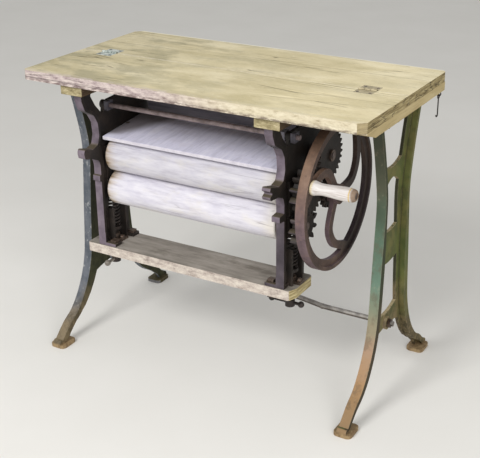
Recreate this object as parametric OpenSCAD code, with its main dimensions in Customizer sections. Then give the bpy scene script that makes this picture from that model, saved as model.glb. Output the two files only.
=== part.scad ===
// Folding table mangle. The front board of the table carries a two-roller
// laundry wringer upside down beneath it, and folds over onto the rear board
// to bring the wringer on top. Origin: on the floor, midway between the feet.
// X runs along the table towards the handwheel, Y to the rear, Z up.

/* [Table] */
// Height of the table top above the floor
table_height = 762; // [740:1:790]
// Length of the table top
top_length = 900; // [890:1:940]
// Thickness of both boards
board_thickness = 24; // [20:0.5:30]
// Depth of the board that folds over
front_board_depth = 236.6; // [232:0.1:244]
// Depth of the fixed board
rear_board_depth = 239.6; // [232:0.1:248]
// Distance of the seam between the boards in front of the middle of the feet
seam_offset = 14; // [10:0.5:18]
// Gap between the boards at the seam
seam_gap = 0.8; // [0.6:0.1:2]
// Radius of the worn board corners
corner_radius = 14; // [6:1:24]
// Length cut off the board corners that are clipped
corner_clip = 23; // [12:1:28]

/* [Bearers] */
// Height of the battens between the legs and the boards
bearer_height = 21; // [18:0.5:26]
// Width of a batten
bearer_width = 38; // [36:0.5:42]
// Distance of the right batten's front end behind the table edge
bearer_front_inset = 16; // [10:1:30]
// Length of the slope under the right batten's front end
bearer_slope = 44; // [30:1:60]
// Distance of the left batten's front end behind the table edge
left_bearer_front_inset = 62; // [50:1:80]
// Distance of the battens' rear ends before the rear edge
bearer_rear_inset = 8; // [6:1:14]

/* [Hinges] */
// Length of a hinge along the seam
hinge_length = 45; // [39:1:54]
// Reach of one hinge leaf from the pin
leaf_reach = 32; // [28:1:40]
// Thickness of a hinge leaf
leaf_thickness = 2.2; // [1.8:0.1:2.6]
// Radius of the hinge pin
hinge_pin_r = 1.8; // [1.5:0.1:2]
// Outer radius of the hinge knuckles
knuckle_r = 3.6; // [3.4:0.1:4]
// Height of the hinge pin above the boards
pin_rise = 0.6; // [0.5:0.1:1.2]
// Distance from the left end to the middle of the left hinge
left_hinge_inset = 84; // [60:1:100]
// Distance from the right end to the middle of the right hinge
right_hinge_inset = 98; // [60:1:110]

/* [Leg frames] */
// Distance from the end of the table to the inner face of a leg frame
leg_inset = 41; // [39:0.5:44]
// Width of the leg's outer flange
leg_flange_width = 24; // [18:0.5:28]
// Thickness of that flange at the top
leg_flange_thickness = 10; // [7:0.5:13]
// Thickness of that flange at the knee
leg_flange_knee = 20; // [14:0.5:22]
// Thickness of the leg's web
leg_web = 8; // [6:0.5:10]
// Depth of a leg from its flange to the back of its web
leg_depth = 37; // [32:0.5:42]
// Half the spread of a leg frame under the table
leg_top_half = 118; // [108:1:126]
// Half the spread at the waist
leg_waist_half = 71; // [67:0.5:80]
// Half the spread at the knee
leg_knee_half = 97; // [90:1:108]
// Half the spread at the toes
foot_half = 252; // [240:1:264]
// Length of a foot pad
pad_length = 56; // [48:1:66]
// Width of a foot pad
pad_width = 46; // [38:1:50]
// Thickness of a foot pad
pad_thickness = 9; // [7:0.5:12]
// Radius of the stretcher rod
stretcher_r = 6.5; // [5:0.25:7]
// Distance of the stretcher rod below the middle of the lower cross web
stretcher_drop = 8; // [0:1:12]
// Length of the stretcher rod's straight ends inside the leg frames
stretcher_straight = 164; // [120:2:220]
// Upward bow of the stretcher rod between its straight ends
stretcher_bow = 18; // [8:1:30]

/* [Latch hook] */
// Radius of the hook's wire
hook_wire_r = 1.5; // [1.2:0.1:1.8]
// Length of the hook below its eye
hook_length = 44; // [34:1:56]
// Distance of the hook from the right end of the table
hook_end_inset = 9; // [8:0.5:14]
// Distance of the hook before the rear edge
hook_rear_inset = 22; // [16:1:40]

/* [Wringer frame] */
// Middle of the wringer, measured from the middle of the table
wringer_x = -48.5; // [-56:0.5:-46]
// Gap between a roller's end and the side frame
roller_end_gap = 8; // [6:0.5:9]
// Width of the side frames' flanges
flange_width = 21; // [18:0.5:22]
// Thickness of the flanges
flange_thickness = 8; // [6:0.5:9]
// Thickness of the side frames' webs
frame_web = 9; // [8:0.5:10]
// Position of the face of the front flange
flange_y = -166; // [-167:0.5:-164]
// Position of the back of the rear column
frame_back_y = -63; // [-64:0.5:-60]
// Width of the slot for the bearing blocks
slot_width = 46; // [44:0.5:48]
// Distance of the cross board's top below the cleats
cross_board_drop = 418; // [412:1:424]
// Thickness of the cross board
cross_board_thickness = 25; // [20:1:28]
// Overhang of the cross board past the side frames
cross_board_overhang = 23.5; // [16:0.5:28]
// Thickness of the cleats under the folding board
cleat_height = 24; // [20:1:28]
// Radius of the tie rod
tie_rod_r = 6; // [5:0.25:7]
// Distance of the tie rod below the cleats
tie_rod_drop = 52; // [48:1:56]
// Position of the tie rod from front to rear
tie_rod_y = -122; // [-126:1:-118]
// Thickness of the drip board
drip_board_thickness = 9; // [7:0.5:11]
// Distance of the drip board's rear edge behind the rollers' axes
drip_board_reach = 174; // [150:1:180]
// Height of the back board on the drip board
back_board_height = 48; // [30:1:56]
// Slope of the drip board in degrees
drip_board_slope = 5; // [4:0.5:6]
// Clearance of sliding blocks in their slots
slide_clearance = 0.3; // [0.2:0.05:0.5]
// Clearance of turning shafts in their bores
running_clearance = 0.05; // [0.03:0.01:0.08]

/* [Rollers] */
// Radius of both rollers
roller_r = 44.35; // [43:0.05:44.4]
// Length of the rollers
roller_length = 485; // [470:1:486]
// Radius of the rounded roller ends
roller_edge_r = 6; // [3:0.5:9]
// Distance of the driven roller's axis below the cleats
roller_drop = 179; // [177:0.5:181]
// Distance between the roller axes
roller_pitch = 89; // [88.9:0.1:90]
// Position of the roller axes from front to rear
roller_y = -114; // [-115:0.5:-113]
// Radius of the roller shafts
shaft_r = 10; // [9:0.25:11]
// Height of a bearing block
block_height = 48; // [42:1:52]

/* [Pressure springs] */
// Radius of the spring wire
spring_wire_r = 2.75; // [2:0.05:3]
// Mean radius of the coils
spring_r = 15; // [14:0.25:16]
// Number of coils
spring_coils = 9; // [7:1:9]
// Height of the spring seats above the cross board
spring_seat_rise = 36; // [32:1:40]
// Radius of the pressure screws
screw_r = 8; // [7:0.25:9]
// Length of the bar through a pressure screw, between its end knobs
screw_bar_length = 80; // [70:1:84]
// Radius of the knobs on the bar's ends
screw_knob_r = 8; // [6:0.5:9]

/* [Gears] */
// Module of the fine gears
gear_module = 4.5; // [4.4:0.05:4.55]
// Teeth of the pinion on the handwheel shaft
pinion_teeth = 15;
// Teeth of the idler
idler_teeth = 26;
// Teeth of the gear on the driven roller
driven_teeth = 23;
// Face width of the fine gears
fine_width = 11; // [8:0.5:11]
// Teeth of the cogs that join the rollers
cog_teeth = 11;
// Face width of the cogs
cog_width = 22; // [16:0.5:23]
// Direction from the driven roller to the idler in degrees
idler_angle = 33; // [32:0.5:34]
// Direction from the idler to the handwheel in degrees
wheel_angle = 269; // [268:0.5:270]

/* [Handwheel] */
// Outer radius of the handwheel
wheel_r = 185; // [178:1:188]
// Width of the rim
rim_width = 24; // [20:0.5:26]
// Thickness of the rim's band
rim_thickness = 9; // [7:0.5:11]
// Depth of the rib inside the rim
rim_rib = 17; // [12:1:20]
// Width of the spokes
spoke_width = 20; // [16:0.5:24]
// Thickness of the spokes
spoke_thickness = 12; // [10:0.5:13]
// Number of spokes
spokes = 3;
// Radius on which the handle stands
handle_circle_r = 164; // [158:1:166]
// Direction of the handle from the hub in degrees
handle_angle = 155.5; // [152:0.5:160]
// Room between the grip's end and the leg frame
grip_room = 5; // [4:0.5:12]
// Radius of the grip at its thickest
grip_r = 17; // [14:0.5:19]
// Radius of the handle stud
stud_r = 5; // [4:0.25:6]

/* [Hidden] */

$fn = 48;
bore_fn = 32;
// Clearance of fixed screws and bolts in their holes
hole_clearance = 0.1;

// Heights of the table
board_z = table_height - board_thickness;
bearer_z = board_z - bearer_height;
cleat_z = board_z - cleat_height;
seam_y = -seam_offset;
front_board_y = seam_y - seam_gap / 2 - front_board_depth;
rear_board_y = seam_y + seam_gap / 2 + rear_board_depth;
half_top = top_length / 2;
leg_inner_x = half_top - leg_inset;

// Hinge line
pin_z = table_height + pin_rise;
hinge_xs = [-half_top + left_hinge_inset, half_top - right_hinge_inset];
knuckle_count = 3;
knuckle_gap = 0.3;
knuckle_length = hinge_length / knuckle_count;
groove_r = knuckle_r + 0.6;
leaf_screw_r = 2;
leaf_screw_head_r = 3.6;
leaf_screw_head = 1.2;
leaf_screw_length = 16;
leaf_screw_inset = 9;

// Leg frames
leg_height = bearer_z;
web_heights = [0.796, 0.547, 0.265] * leg_height;
web_half_height = [0.038, 0.057, 0.04] * leg_height;
web_sag = 11;
top_bar = 8;
top_bar_width = 32;
top_bar_half = leg_top_half + 8;
leg_screw_x = leg_inner_x + 21;
leg_screw_ys = [for (t = [-0.66, -0.24, 0.24, 0.66]) t * top_bar_half];
leg_screw_r = 3.5;
boss_r = 17;
boss_depth = 6;
stretcher_z = web_heights[2] - stretcher_drop;
stretcher_clearance = 0.3;

// Side frames, in the frame's own position on the right of the wringer
driven_z = cleat_z - roller_drop;
cross_board_z = cleat_z - cross_board_drop;
tie_rod_z = cleat_z - tie_rod_drop;
frame_clear = roller_length + 2 * roller_end_gap;
frame_in = frame_clear / 2;
frame_out = frame_in + flange_width;
web_in = frame_in + (flange_width - frame_web) / 2;
web_out = web_in + frame_web;
web_mid = (web_in + web_out) / 2;
slot_y0 = roller_y - slot_width / 2;
slot_y1 = roller_y + slot_width / 2;
slot_top = driven_z + block_height / 2;
foot_height = 8;
foot_inner = frame_in - 31;
foot_bolt_x = frame_in - 19;
foot_bolt_ys = [flange_y + 14, frame_back_y - 13];
foot_bolt_r = 5;
pad_drop = 9;
pad_y0 = -150;
pad_y1 = -22;
pad_out = frame_out + 23;
pad_bolt_x = frame_out + 12;
pad_bolt_ys = [-108, -44];
pad_bolt_r = 4;
boss_wall = 9;
stud_in_r = 8;
drip_y0 = flange_y + 14;
drip_depth = drip_board_reach + roller_y - drip_y0;
ledge_y0 = -58;
ledge_y1 = drip_y0 + drip_depth - 14;
arm_y = drip_y0 + drip_depth - 2;
ledge_width = 14;
slot_rib = 5;
slot_rib_room = 32;
ledge_height = 7;

// Rollers
pressure_z = driven_z - roller_pitch;
roller_half = roller_length / 2;
block_flange = 4;
block_face = 6;
block_in = web_in - block_face;
block_out = web_out + block_face;

// Gears and cogs
gear_pa = 20;
fine_slack = 0.5;
cog_slack = 3;
pinion_pitch_r = gear_module * pinion_teeth / 2;
idler_pitch_r = gear_module * idler_teeth / 2;
driven_pitch_r = gear_module * driven_teeth / 2;
cog_pitch_r = roller_pitch / 2;
cog_addendum = 8;
cog_dedendum = 10;
cog_x = wringer_x + frame_out + 11;
fine_x = cog_x + cog_width + 2;
idler_y = roller_y + (driven_pitch_r + idler_pitch_r) * cos(idler_angle);
idler_z = driven_z + (driven_pitch_r + idler_pitch_r) * sin(idler_angle);
wheel_y = idler_y + (pinion_pitch_r + idler_pitch_r) * cos(wheel_angle);
wheel_z = idler_z + (pinion_pitch_r + idler_pitch_r) * sin(wheel_angle);
pinion_phase = 0;
idler_phase = mesh_phase(pinion_phase, pinion_teeth, wheel_angle + 180, idler_teeth);
driven_phase = mesh_phase(idler_phase, idler_teeth, idler_angle + 180, driven_teeth);
driven_cog_phase = 0;
pressure_cog_phase = mesh_phase(driven_cog_phase, cog_teeth, -90, cog_teeth);

// Handwheel
rim_x = fine_x + fine_width + 3;
hub_x = rim_x - 1;
rim_inner_r = wheel_r - rim_thickness - rim_rib;
rim_rib_width = 12;
hub_r = 24;
hub_width = 27;
spoke_x = rim_x + (rim_width - spoke_thickness) / 2;
handle_y = wheel_y + handle_circle_r * cos(handle_angle);
handle_z = wheel_z + handle_circle_r * sin(handle_angle);
handle_boss_r = 15;
grip_x = rim_x + rim_width + 1;
grip_length = leg_inner_x - grip_room - grip_x;
wheel_nut_width = 8;

// Pressure screws and springs
seat_r = 19;
seat_height = 8;
spring_seat_z = cross_board_z + spring_seat_rise;
spring_top_z = pressure_z - block_height / 2;
screw_xs = [wringer_x - web_mid, wringer_x + web_mid];
screw_nut_length = 66;
screw_nut_width = 28;
screw_nut_flange = 6;
screw_nut_height = 14;
nut_bolt_r = 3;
nut_bolt_length = 16;
screw_head_z = cross_board_z - cross_board_thickness - 42;
screw_head_r = 12;
screw_head_height = 18;
screw_bar_r = 4;

// Latch hook
hook_x = half_top - hook_end_inset;
hook_y = rear_board_y - hook_rear_inset;
ring_r = 5;
eye_shank_r = 0.8 * hook_wire_r;
eye_z = bearer_z - 7;

// Vector helpers
function unit(v) = v / norm(v);
function perp(v) = [-v[1], v[0]];
function lerp(a, b, t) = a + (b - a) * t;
function reversed(v) = [for (i = [len(v) - 1 : -1 : 0]) v[i]];
function mirrored(v) = [for (p = v) [-p[0], p[1]]];

// Outline with rounded corners, from points given as [x, y, radius]
function xy(p) = [p[0], p[1]];
function corner_arc(a, b, c, r, n = 6) =
    let(u = unit(a - b), v = unit(c - b), half = acos(u * v) / 2)
    let(centre = b + unit(u + v) * r / sin(half), cut = r / tan(half))
    let(p = b + u * cut - centre, q = b + v * cut - centre)
    let(start = atan2(p[1], p[0]), turn = atan2(p[0] * q[1] - p[1] * q[0], p * q))
    [for (i = [0 : n]) centre + r * [cos(start + turn * i / n), sin(start + turn * i / n)]];
function rounded(pts) = [
    for (i = [0 : len(pts) - 1])
        let(n = len(pts), a = xy(pts[(i + n - 1) % n]), b = xy(pts[i]), c = xy(pts[(i + 1) % n]))
        each pts[i][2] > 0 ? corner_arc(a, b, c, pts[i][2]) : [b]
];
// The same for an open line, whose ends stay sharp
function rounded_line(pts) = [
    for (i = [0 : len(pts) - 1])
        each i == 0 || i == len(pts) - 1 || pts[i][2] == 0
            ? [xy(pts[i])]
            : corner_arc(xy(pts[i - 1]), xy(pts[i]), xy(pts[i + 1]), pts[i][2])
];

// Smooth curve through a list of points
function curve_point(a, b, c, d, t) =
    0.5 * (2 * b + (c - a) * t + (2 * a - 5 * b + 4 * c - d) * t * t
        + (3 * b - a - 3 * c + d) * t * t * t);
function smooth(pts, steps = 5) = [
    for (i = [0 : len(pts) - 2])
        let(a = pts[max(i - 1, 0)], b = pts[i], c = pts[i + 1], d = pts[min(i + 2, len(pts) - 1)])
        for (k = [0 : steps - 1]) curve_point(a, b, c, d, k / steps),
    pts[len(pts) - 1]
];

// Band of even thickness along one side of an open line
function side_of(line, i) =
    unit(perp(line[min(i + 1, len(line) - 1)] - line[max(i - 1, 0)]));
function band(line, thickness) = concat(
    line,
    reversed([for (i = [0 : len(line) - 1]) line[i] + side_of(line, i) * thickness])
);

// Upright outline in the Y and Z directions, given thickness along X
module along_x(x0, x1) {
    translate([x0, 0, 0])
        rotate([90, 0, 90])
            linear_extrude(height = x1 - x0) children();
}

module rod_x(x0, x1, r) {
    translate([x0, 0, 0])
        rotate([0, 90, 0])
            cylinder(h = x1 - x0, r = r);
}

module at_yz(y, z) {
    translate([0, y, z]) children();
}

// Right side of the wringer as it is, or its mirror image on the left
module wringer_side(side) {
    translate([wringer_x, 0, 0])
        mirror([side < 0 ? 1 : 0, 0, 0]) children();
}

module table_side(side) {
    mirror([side < 0 ? 1 : 0, 0, 0]) children();
}

// Involute gear outline
function involute(a) = tan(a) * 180 / PI - a;
function tooth_half(r, pitch_r, teeth, slack) =
    let(base_r = pitch_r * cos(gear_pa))
    90 / teeth - slack * 45 / (PI * pitch_r) + involute(gear_pa)
        - involute(acos(min(1, base_r / max(r, base_r))));
function gear_outline(teeth, pitch_r, addendum, dedendum, slack, phase) =
    let(base_r = pitch_r * cos(gear_pa), root_r = pitch_r - dedendum, tip_r = pitch_r + addendum)
    let(low_r = max(root_r + 0.5, base_r))
    let(radii = [root_r, low_r, lerp(low_r, tip_r, 0.35), lerp(low_r, tip_r, 0.7), tip_r])
    [
        for (k = [0 : teeth - 1], s = [-1, 1], j = [0 : len(radii) - 1])
            let(r = radii[s < 0 ? j : len(radii) - 1 - j])
            let(a = phase + 360 * k / teeth + s * tooth_half(r, pitch_r, teeth, slack))
            r * [cos(a), sin(a)]
    ];
// Phase of a gear that meshes with another one in a given direction from it
function mesh_phase(phase, teeth, direction, next_teeth) =
    direction + 180 + (180 - (phase - direction) * teeth) / next_teeth;

module fine_gear(teeth, phase) {
    polygon(gear_outline(teeth, gear_module * teeth / 2, 0.92 * gear_module,
        1.15 * gear_module, fine_slack, phase));
}

module cog(phase) {
    polygon(gear_outline(cog_teeth, cog_pitch_r, cog_addendum, cog_dedendum, cog_slack, phase));
}

// Table boards

module board_outline(x0, x1, y0, y1, radii) {
    polygon(rounded([
        [x0, y0, radii[0]],
        [x1, y0, radii[1]],
        [x1, y1, radii[2]],
        [x0, y1, radii[3]]
    ]));
}

module clipped_corner(x, y) {
    translate([x, y, board_z - 1])
        rotate([0, 0, 45])
            cube([corner_clip, corner_clip, 4 * board_thickness], center = true);
}

// Recess for one leaf and half of the knuckles; side is 1 to the rear
module leaf_recess(x, side) {
    translate([x - hinge_length / 2 - 0.2, side > 0 ? seam_y : seam_y - leaf_reach - 0.2,
            table_height - leaf_thickness])
        cube([hinge_length + 0.4, leaf_reach + 0.2, leaf_thickness + 1]);
    translate([x - hinge_length / 2 - 0.4, seam_y, pin_z])
        rotate([0, 90, 0])
            cylinder(h = hinge_length + 0.8, r = groove_r);
}

// Places of one leaf's two screws
module leaf_screw_places(side) {
    for (x = hinge_xs, s = [-1, 1])
        translate([x + s * (hinge_length / 2 - 7), seam_y + side * (leaf_reach - leaf_screw_inset),
                table_height])
            children();
}

module leaf_screw_hole() {
    translate([0, 0, -leaf_screw_length - 1])
        cylinder(h = leaf_screw_length + 2, r = leaf_screw_r + hole_clearance, $fn = bore_fn);
}

module leaf_screw() {
    translate([0, 0, -leaf_screw_length])
        cylinder(h = leaf_screw_length, r = leaf_screw_r, $fn = bore_fn);
    translate([0, 0, -leaf_screw_head])
        cylinder(h = leaf_screw_head, r = leaf_screw_head_r, $fn = bore_fn);
}

module rear_board() {
    color("#cbb98e")
        difference() {
            translate([0, 0, board_z])
                linear_extrude(height = board_thickness)
                    board_outline(-half_top, half_top, seam_y + seam_gap / 2, rear_board_y,
                        [0, 0, corner_radius, 0]);
            clipped_corner(-half_top, rear_board_y);
            for (x = hinge_xs) leaf_recess(x, 1);
            leaf_screw_places(1) leaf_screw_hole();
            bearer_screw_places(-1) bearer_screw_hole();
            bearer_screw_places(1) bearer_screw_hole();
        }
}

module front_board() {
    color("#d2c091")
        difference() {
            translate([0, 0, board_z])
                linear_extrude(height = board_thickness)
                    board_outline(-half_top, half_top, front_board_y, seam_y - seam_gap / 2,
                        [corner_radius, 0, 0, 0]);
            clipped_corner(half_top, front_board_y);
            for (x = hinge_xs) leaf_recess(x, -1);
            leaf_screw_places(-1) leaf_screw_hole();
            cleat_screw_places() cleat_screw_hole();
            pad_bolt_places() pad_bolt_hole();
        }
}

// Battens that the boards rest on

bearer_x = half_top - bearer_width;
bearer_rear_y = rear_board_y - bearer_rear_inset;
bearer_screw_r = 2.5;
bearer_screw_head_r = 5;
bearer_screw_head = 3;
bearer_screw_length = bearer_height + board_thickness - 6;

module bearer_screw_places(side) {
    table_side(side)
        for (t = [0.12, 0.4, 0.68, 0.96])
            translate([half_top - bearer_width / 2 - 6, lerp(seam_y, bearer_rear_y - 8, t), bearer_z])
                children();
}

module bearer_screw() {
    cylinder(h = bearer_screw_length, r = bearer_screw_r, $fn = bore_fn);
    cylinder(h = bearer_screw_head, r = bearer_screw_head_r, $fn = bore_fn);
}

module bearer_screw_hole() {
    translate([0, 0, -1])
        cylinder(h = bearer_screw_length + 1.2, r = bearer_screw_r + hole_clearance, $fn = bore_fn);
    translate([0, 0, -1])
        cylinder(h = bearer_screw_head + 1, r = bearer_screw_head_r + hole_clearance, $fn = bore_fn);
}

module leg_screw_places(side) {
    table_side(side)
        for (y = leg_screw_ys)
            translate([leg_screw_x, y, bearer_z]) children();
}

module bearer(side, front_inset, slope) {
    color("#bfa877")
        difference() {
            table_side(side)
                along_x(bearer_x, half_top)
                    polygon([
                        [front_board_y + front_inset, board_z],
                        [front_board_y + front_inset, board_z - 4],
                        [front_board_y + front_inset + slope, bearer_z],
                        [bearer_rear_y, bearer_z],
                        [bearer_rear_y, board_z]
                    ]);
            bearer_screw_places(side) bearer_screw_hole();
            leg_screw_places(side)
                translate([0, 0, -1])
                    cylinder(h = bearer_height - 1, r = leg_screw_r + hole_clearance, $fn = bore_fn);
            if (side > 0)
                translate([hook_x, hook_y, bearer_z - 1])
                    cylinder(h = 15, r = eye_shank_r + hole_clearance, $fn = bore_fn);
        }
}

module left_bearer() {
    bearer(-1, left_bearer_front_inset, 6);
}

module right_bearer() {
    bearer(1, bearer_front_inset, bearer_slope);
}

module bearer_screws() {
    color("#6b6258")
        for (side = [-1, 1])
            bearer_screw_places(side) bearer_screw();
}

// Cast leg frames

// Half width of the frame's outer line, from the table down to the toe
leg_knots = [
    [leg_top_half, leg_height],
    [lerp(leg_waist_half, leg_top_half, 0.55), 0.9 * leg_height],
    [lerp(leg_waist_half, leg_top_half, 0.1), 0.775 * leg_height],
    [leg_waist_half, 0.7 * leg_height],
    [lerp(leg_waist_half, leg_knee_half, 0.17), 0.61 * leg_height],
    [lerp(leg_waist_half, leg_knee_half, 0.46), 0.49 * leg_height],
    [lerp(leg_waist_half, leg_knee_half, 0.73), 0.36 * leg_height],
    [leg_knee_half, 0.29 * leg_height],
    [lerp(leg_knee_half, foot_half, 0.105), 0.22 * leg_height],
    [lerp(leg_knee_half, foot_half, 0.27), 0.155 * leg_height],
    [lerp(leg_knee_half, foot_half, 0.47), 0.105 * leg_height],
    [lerp(leg_knee_half, foot_half, 0.7), 0.072 * leg_height],
    [foot_half - 4, pad_thickness + 2]
];
leg_line = smooth(leg_knots, 4);
function flange_at(z) = lookup(z / leg_height, [
    [0.04, leg_flange_thickness + 2],
    [0.14, leg_flange_knee],
    [0.5, leg_flange_knee],
    [0.68, leg_flange_thickness]
]);
leg_flange = concat(leg_line, reversed([
    for (i = [0 : len(leg_line) - 1])
        leg_line[i] - side_of(leg_line, i) * flange_at(leg_line[i][1])
]));
leg_table = [for (p = reversed(leg_line)) [p[1], p[0]]];
function leg_half(z) = lookup(z, leg_table);
function leg_inside(z) = leg_half(z) - lerp(leg_depth - 12, leg_depth, min(1, z / (0.25 * leg_height)));

// Window between the legs, with bowed ends
function window_end(z, sag, dir, n = 8) =
    let(w = leg_inside(z))
    [for (i = [0 : n]) let(y = dir * w * (2 * i / n - 1)) [y, z + sag * (1 - y * y / (w * w))]];
function window_side(z0, z1, dir, n = 6) =
    [for (i = [1 : n - 1]) let(z = lerp(z0, z1, i / n)) [dir * leg_inside(z), z]];
function leg_window(z0, sag0, z1, sag1) = concat(
    window_end(z0, sag0, 1),
    window_side(z0, z1, 1),
    window_end(z1, sag1, -1),
    window_side(z1, z0, -1)
);

module leg_outline() {
    difference() {
        polygon(concat(leg_line, reversed(mirrored(leg_line))));
        polygon(leg_window(web_heights[0] + web_half_height[0], -web_sag,
            leg_height - top_bar, -1));
        polygon(leg_window(web_heights[1] + web_half_height[1], -web_sag / 2,
            web_heights[0] - web_half_height[0], 1.6 * web_sag));
        polygon(leg_window(web_heights[2] + web_half_height[2], -web_sag,
            web_heights[1] - web_half_height[1], -web_sag / 2));
        polygon(leg_window(-1, 0, web_heights[2] - web_half_height[2], web_sag));
    }
}

module foot_pad() {
    translate([leg_inner_x + leg_flange_width / 2, 0, 0])
        for (s = [-1, 1])
            translate([0, s * (foot_half - pad_length / 2), 0])
                linear_extrude(height = pad_thickness)
                    board_outline(-pad_width / 2, pad_width / 2, -pad_length / 2, pad_length / 2,
                        [12, 12, 12, 12]);
}

module leg_frame(side) {
    color("#5d6b4c")
        difference() {
            union() {
                table_side(side) {
                    along_x(leg_inner_x, leg_inner_x + leg_web) leg_outline();
                    along_x(leg_inner_x, leg_inner_x + leg_flange_width) {
                        polygon(leg_flange);
                        polygon(mirrored(leg_flange));
                    }
                    translate([leg_inner_x, -top_bar_half, leg_height - top_bar])
                        cube([top_bar_width, 2 * top_bar_half, top_bar]);
                    foot_pad();
                    for (s = [-1, 1])
                        at_yz(s * (foot_half - 9), pad_thickness + 3)
                            rod_x(leg_inner_x, leg_inner_x + leg_flange_width, 9);
                    at_yz(0, stretcher_z)
                        rod_x(leg_inner_x - boss_depth, leg_inner_x + leg_web + boss_depth, boss_r);
                }
            }
            table_side(side)
                at_yz(0, stretcher_z)
                    rod_x(leg_inner_x - boss_depth - 1, leg_inner_x + leg_web + boss_depth + 1,
                        stretcher_r + stretcher_clearance);
            leg_screw_places(side)
                translate([0, 0, -top_bar - 1])
                    cylinder(h = top_bar + 2, r = leg_screw_r + hole_clearance, $fn = bore_fn);
            for (z = [-40, leg_height])
                translate([-half_top - 50, -foot_half - 50, z])
                    cube([top_length + 100, 2 * foot_half + 100, 40]);
        }
}

module left_leg_frame() {
    leg_frame(-1);
}

module right_leg_frame() {
    leg_frame(1);
}

module leg_frame_screws() {
    color("#4d4640")
        for (side = [-1, 1])
            leg_screw_places(side) {
                translate([0, 0, -top_bar - 5])
                    cylinder(h = 5, r = 7, $fn = 6);
                translate([0, 0, -top_bar])
                    cylinder(h = top_bar + bearer_height - 4, r = leg_screw_r, $fn = bore_fn);
            }
}

// Stretcher rod, bowed upward between its straight ends

stretcher_half = leg_inner_x - stretcher_straight;
stretcher_bow_r = (stretcher_half * stretcher_half + stretcher_bow * stretcher_bow)
    / (2 * stretcher_bow);
stretcher_bow_angle = asin(stretcher_half / stretcher_bow_r);
stretcher_end = leg_inner_x + leg_web + boss_depth + 14;
stretcher_nut_width = 8;
stretcher_nut_r = stretcher_r + 6;

module stretcher_rod() {
    color("#6f655c") {
        translate([0, 0, stretcher_z + stretcher_bow - stretcher_bow_r])
            rotate([90, 0, 0])
                rotate([0, 0, 90 - stretcher_bow_angle])
                    rotate_extrude(angle = 2 * stretcher_bow_angle, $fn = 240)
                        translate([stretcher_bow_r, 0]) circle(r = stretcher_r, $fn = bore_fn);
        for (side = [-1, 1])
            table_side(side)
                at_yz(0, stretcher_z) {
                    rod_x(stretcher_half, stretcher_end, stretcher_r);
                    translate([stretcher_half, 0, 0]) sphere(r = stretcher_r + 0.8, $fn = bore_fn);
                }
    }
}

module stretcher_nuts() {
    color("#7b6a58")
        for (side = [-1, 1], x = [leg_inner_x - boss_depth - stretcher_nut_width,
                leg_inner_x + leg_web + boss_depth])
            table_side(side)
                translate([x, 0, stretcher_z])
                    rotate([0, 90, 0])
                        difference() {
                            cylinder(h = stretcher_nut_width, r = stretcher_nut_r, $fn = 6);
                            translate([0, 0, -1])
                                cylinder(h = stretcher_nut_width + 2,
                                    r = stretcher_r + hole_clearance, $fn = bore_fn);
                        }
}

// Hinges let into the boards. The rear leaf has the two outer knuckles.

module hinge_leaf(x, side) {
    rear = side > 0;
    difference() {
        union() {
            translate([x - hinge_length / 2, rear ? seam_y : seam_y - leaf_reach,
                    table_height - leaf_thickness])
                cube([hinge_length, leaf_reach, leaf_thickness]);
            translate([x - hinge_length / 2, seam_y, pin_z])
                rod_x(0, hinge_length, knuckle_r);
        }
        for (k = [0 : knuckle_count - 1])
            if ((k % 2 == 0) != rear)
                translate([x - hinge_length / 2 + k * knuckle_length - knuckle_gap / 2, seam_y, pin_z])
                    rod_x(0, knuckle_length + knuckle_gap, groove_r);
        for (k = [0 : knuckle_count - 1])
            if ((k % 2 == 0) == rear)
                translate([x - hinge_length / 2 + k * knuckle_length, seam_y - side * 20,
                        table_height - 10])
                    cube([knuckle_length, 16.2, 9.6]);
        translate([x - hinge_length / 2 - 1, seam_y, pin_z])
            rod_x(0, hinge_length + 2, hinge_pin_r + running_clearance);
        leaf_screw_places(side) {
            leaf_screw_hole();
            translate([0, 0, -leaf_screw_head])
                cylinder(h = 5, r = leaf_screw_head_r + hole_clearance, $fn = bore_fn);
        }
    }
}

module rear_hinge_leaves() {
    color("#8b857a")
        for (x = hinge_xs) hinge_leaf(x, 1);
}

module front_hinge_leaves() {
    color("#8b857a")
        for (x = hinge_xs) hinge_leaf(x, -1);
}

module hinge_pins() {
    color("#5b534b")
        for (x = hinge_xs)
            translate([x - hinge_length / 2, seam_y, pin_z])
                rod_x(0, hinge_length, hinge_pin_r);
}

module rear_hinge_screws() {
    color("#6b6258") leaf_screw_places(1) leaf_screw();
}

module front_hinge_screws() {
    color("#6b6258") leaf_screw_places(-1) leaf_screw();
}

// Wire hook that hangs from an eye under the right batten

module wire_ring() {
    rotate_extrude($fn = 64)
        translate([ring_r, 0]) circle(r = hook_wire_r, $fn = 24);
}

module latch_eye() {
    color("#3d3833") {
        translate([hook_x, hook_y, eye_z])
            rotate([90, 0, 0]) wire_ring();
        translate([hook_x, hook_y, eye_z + ring_r - hook_wire_r / 2])
            cylinder(h = 14, r = eye_shank_r, $fn = bore_fn);
    }
}

hook_pivot_z = eye_z - ring_r;
hook_play = 0.35;
hook_ring_z = hook_pivot_z + 2 * hook_wire_r + hook_play - ring_r;

module latch_hook() {
    color("#3d3833")
        translate([hook_x, hook_y, 0]) {
            translate([0, 0, hook_ring_z])
                rotate([0, 90, 0]) wire_ring();
            translate([0, 0, hook_ring_z - ring_r - hook_length + ring_r])
                cylinder(h = hook_length - ring_r + hook_wire_r / 2, r = hook_wire_r, $fn = bore_fn);
            translate([0, -ring_r, hook_ring_z - hook_length])
                rotate([90, 0, 90])
                    rotate([0, 0, 180])
                        rotate_extrude(angle = 180, $fn = bore_fn)
                            translate([ring_r, 0]) circle(r = hook_wire_r, $fn = 16);
        }
}

// Cleats between the folding board and the side frames

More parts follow.
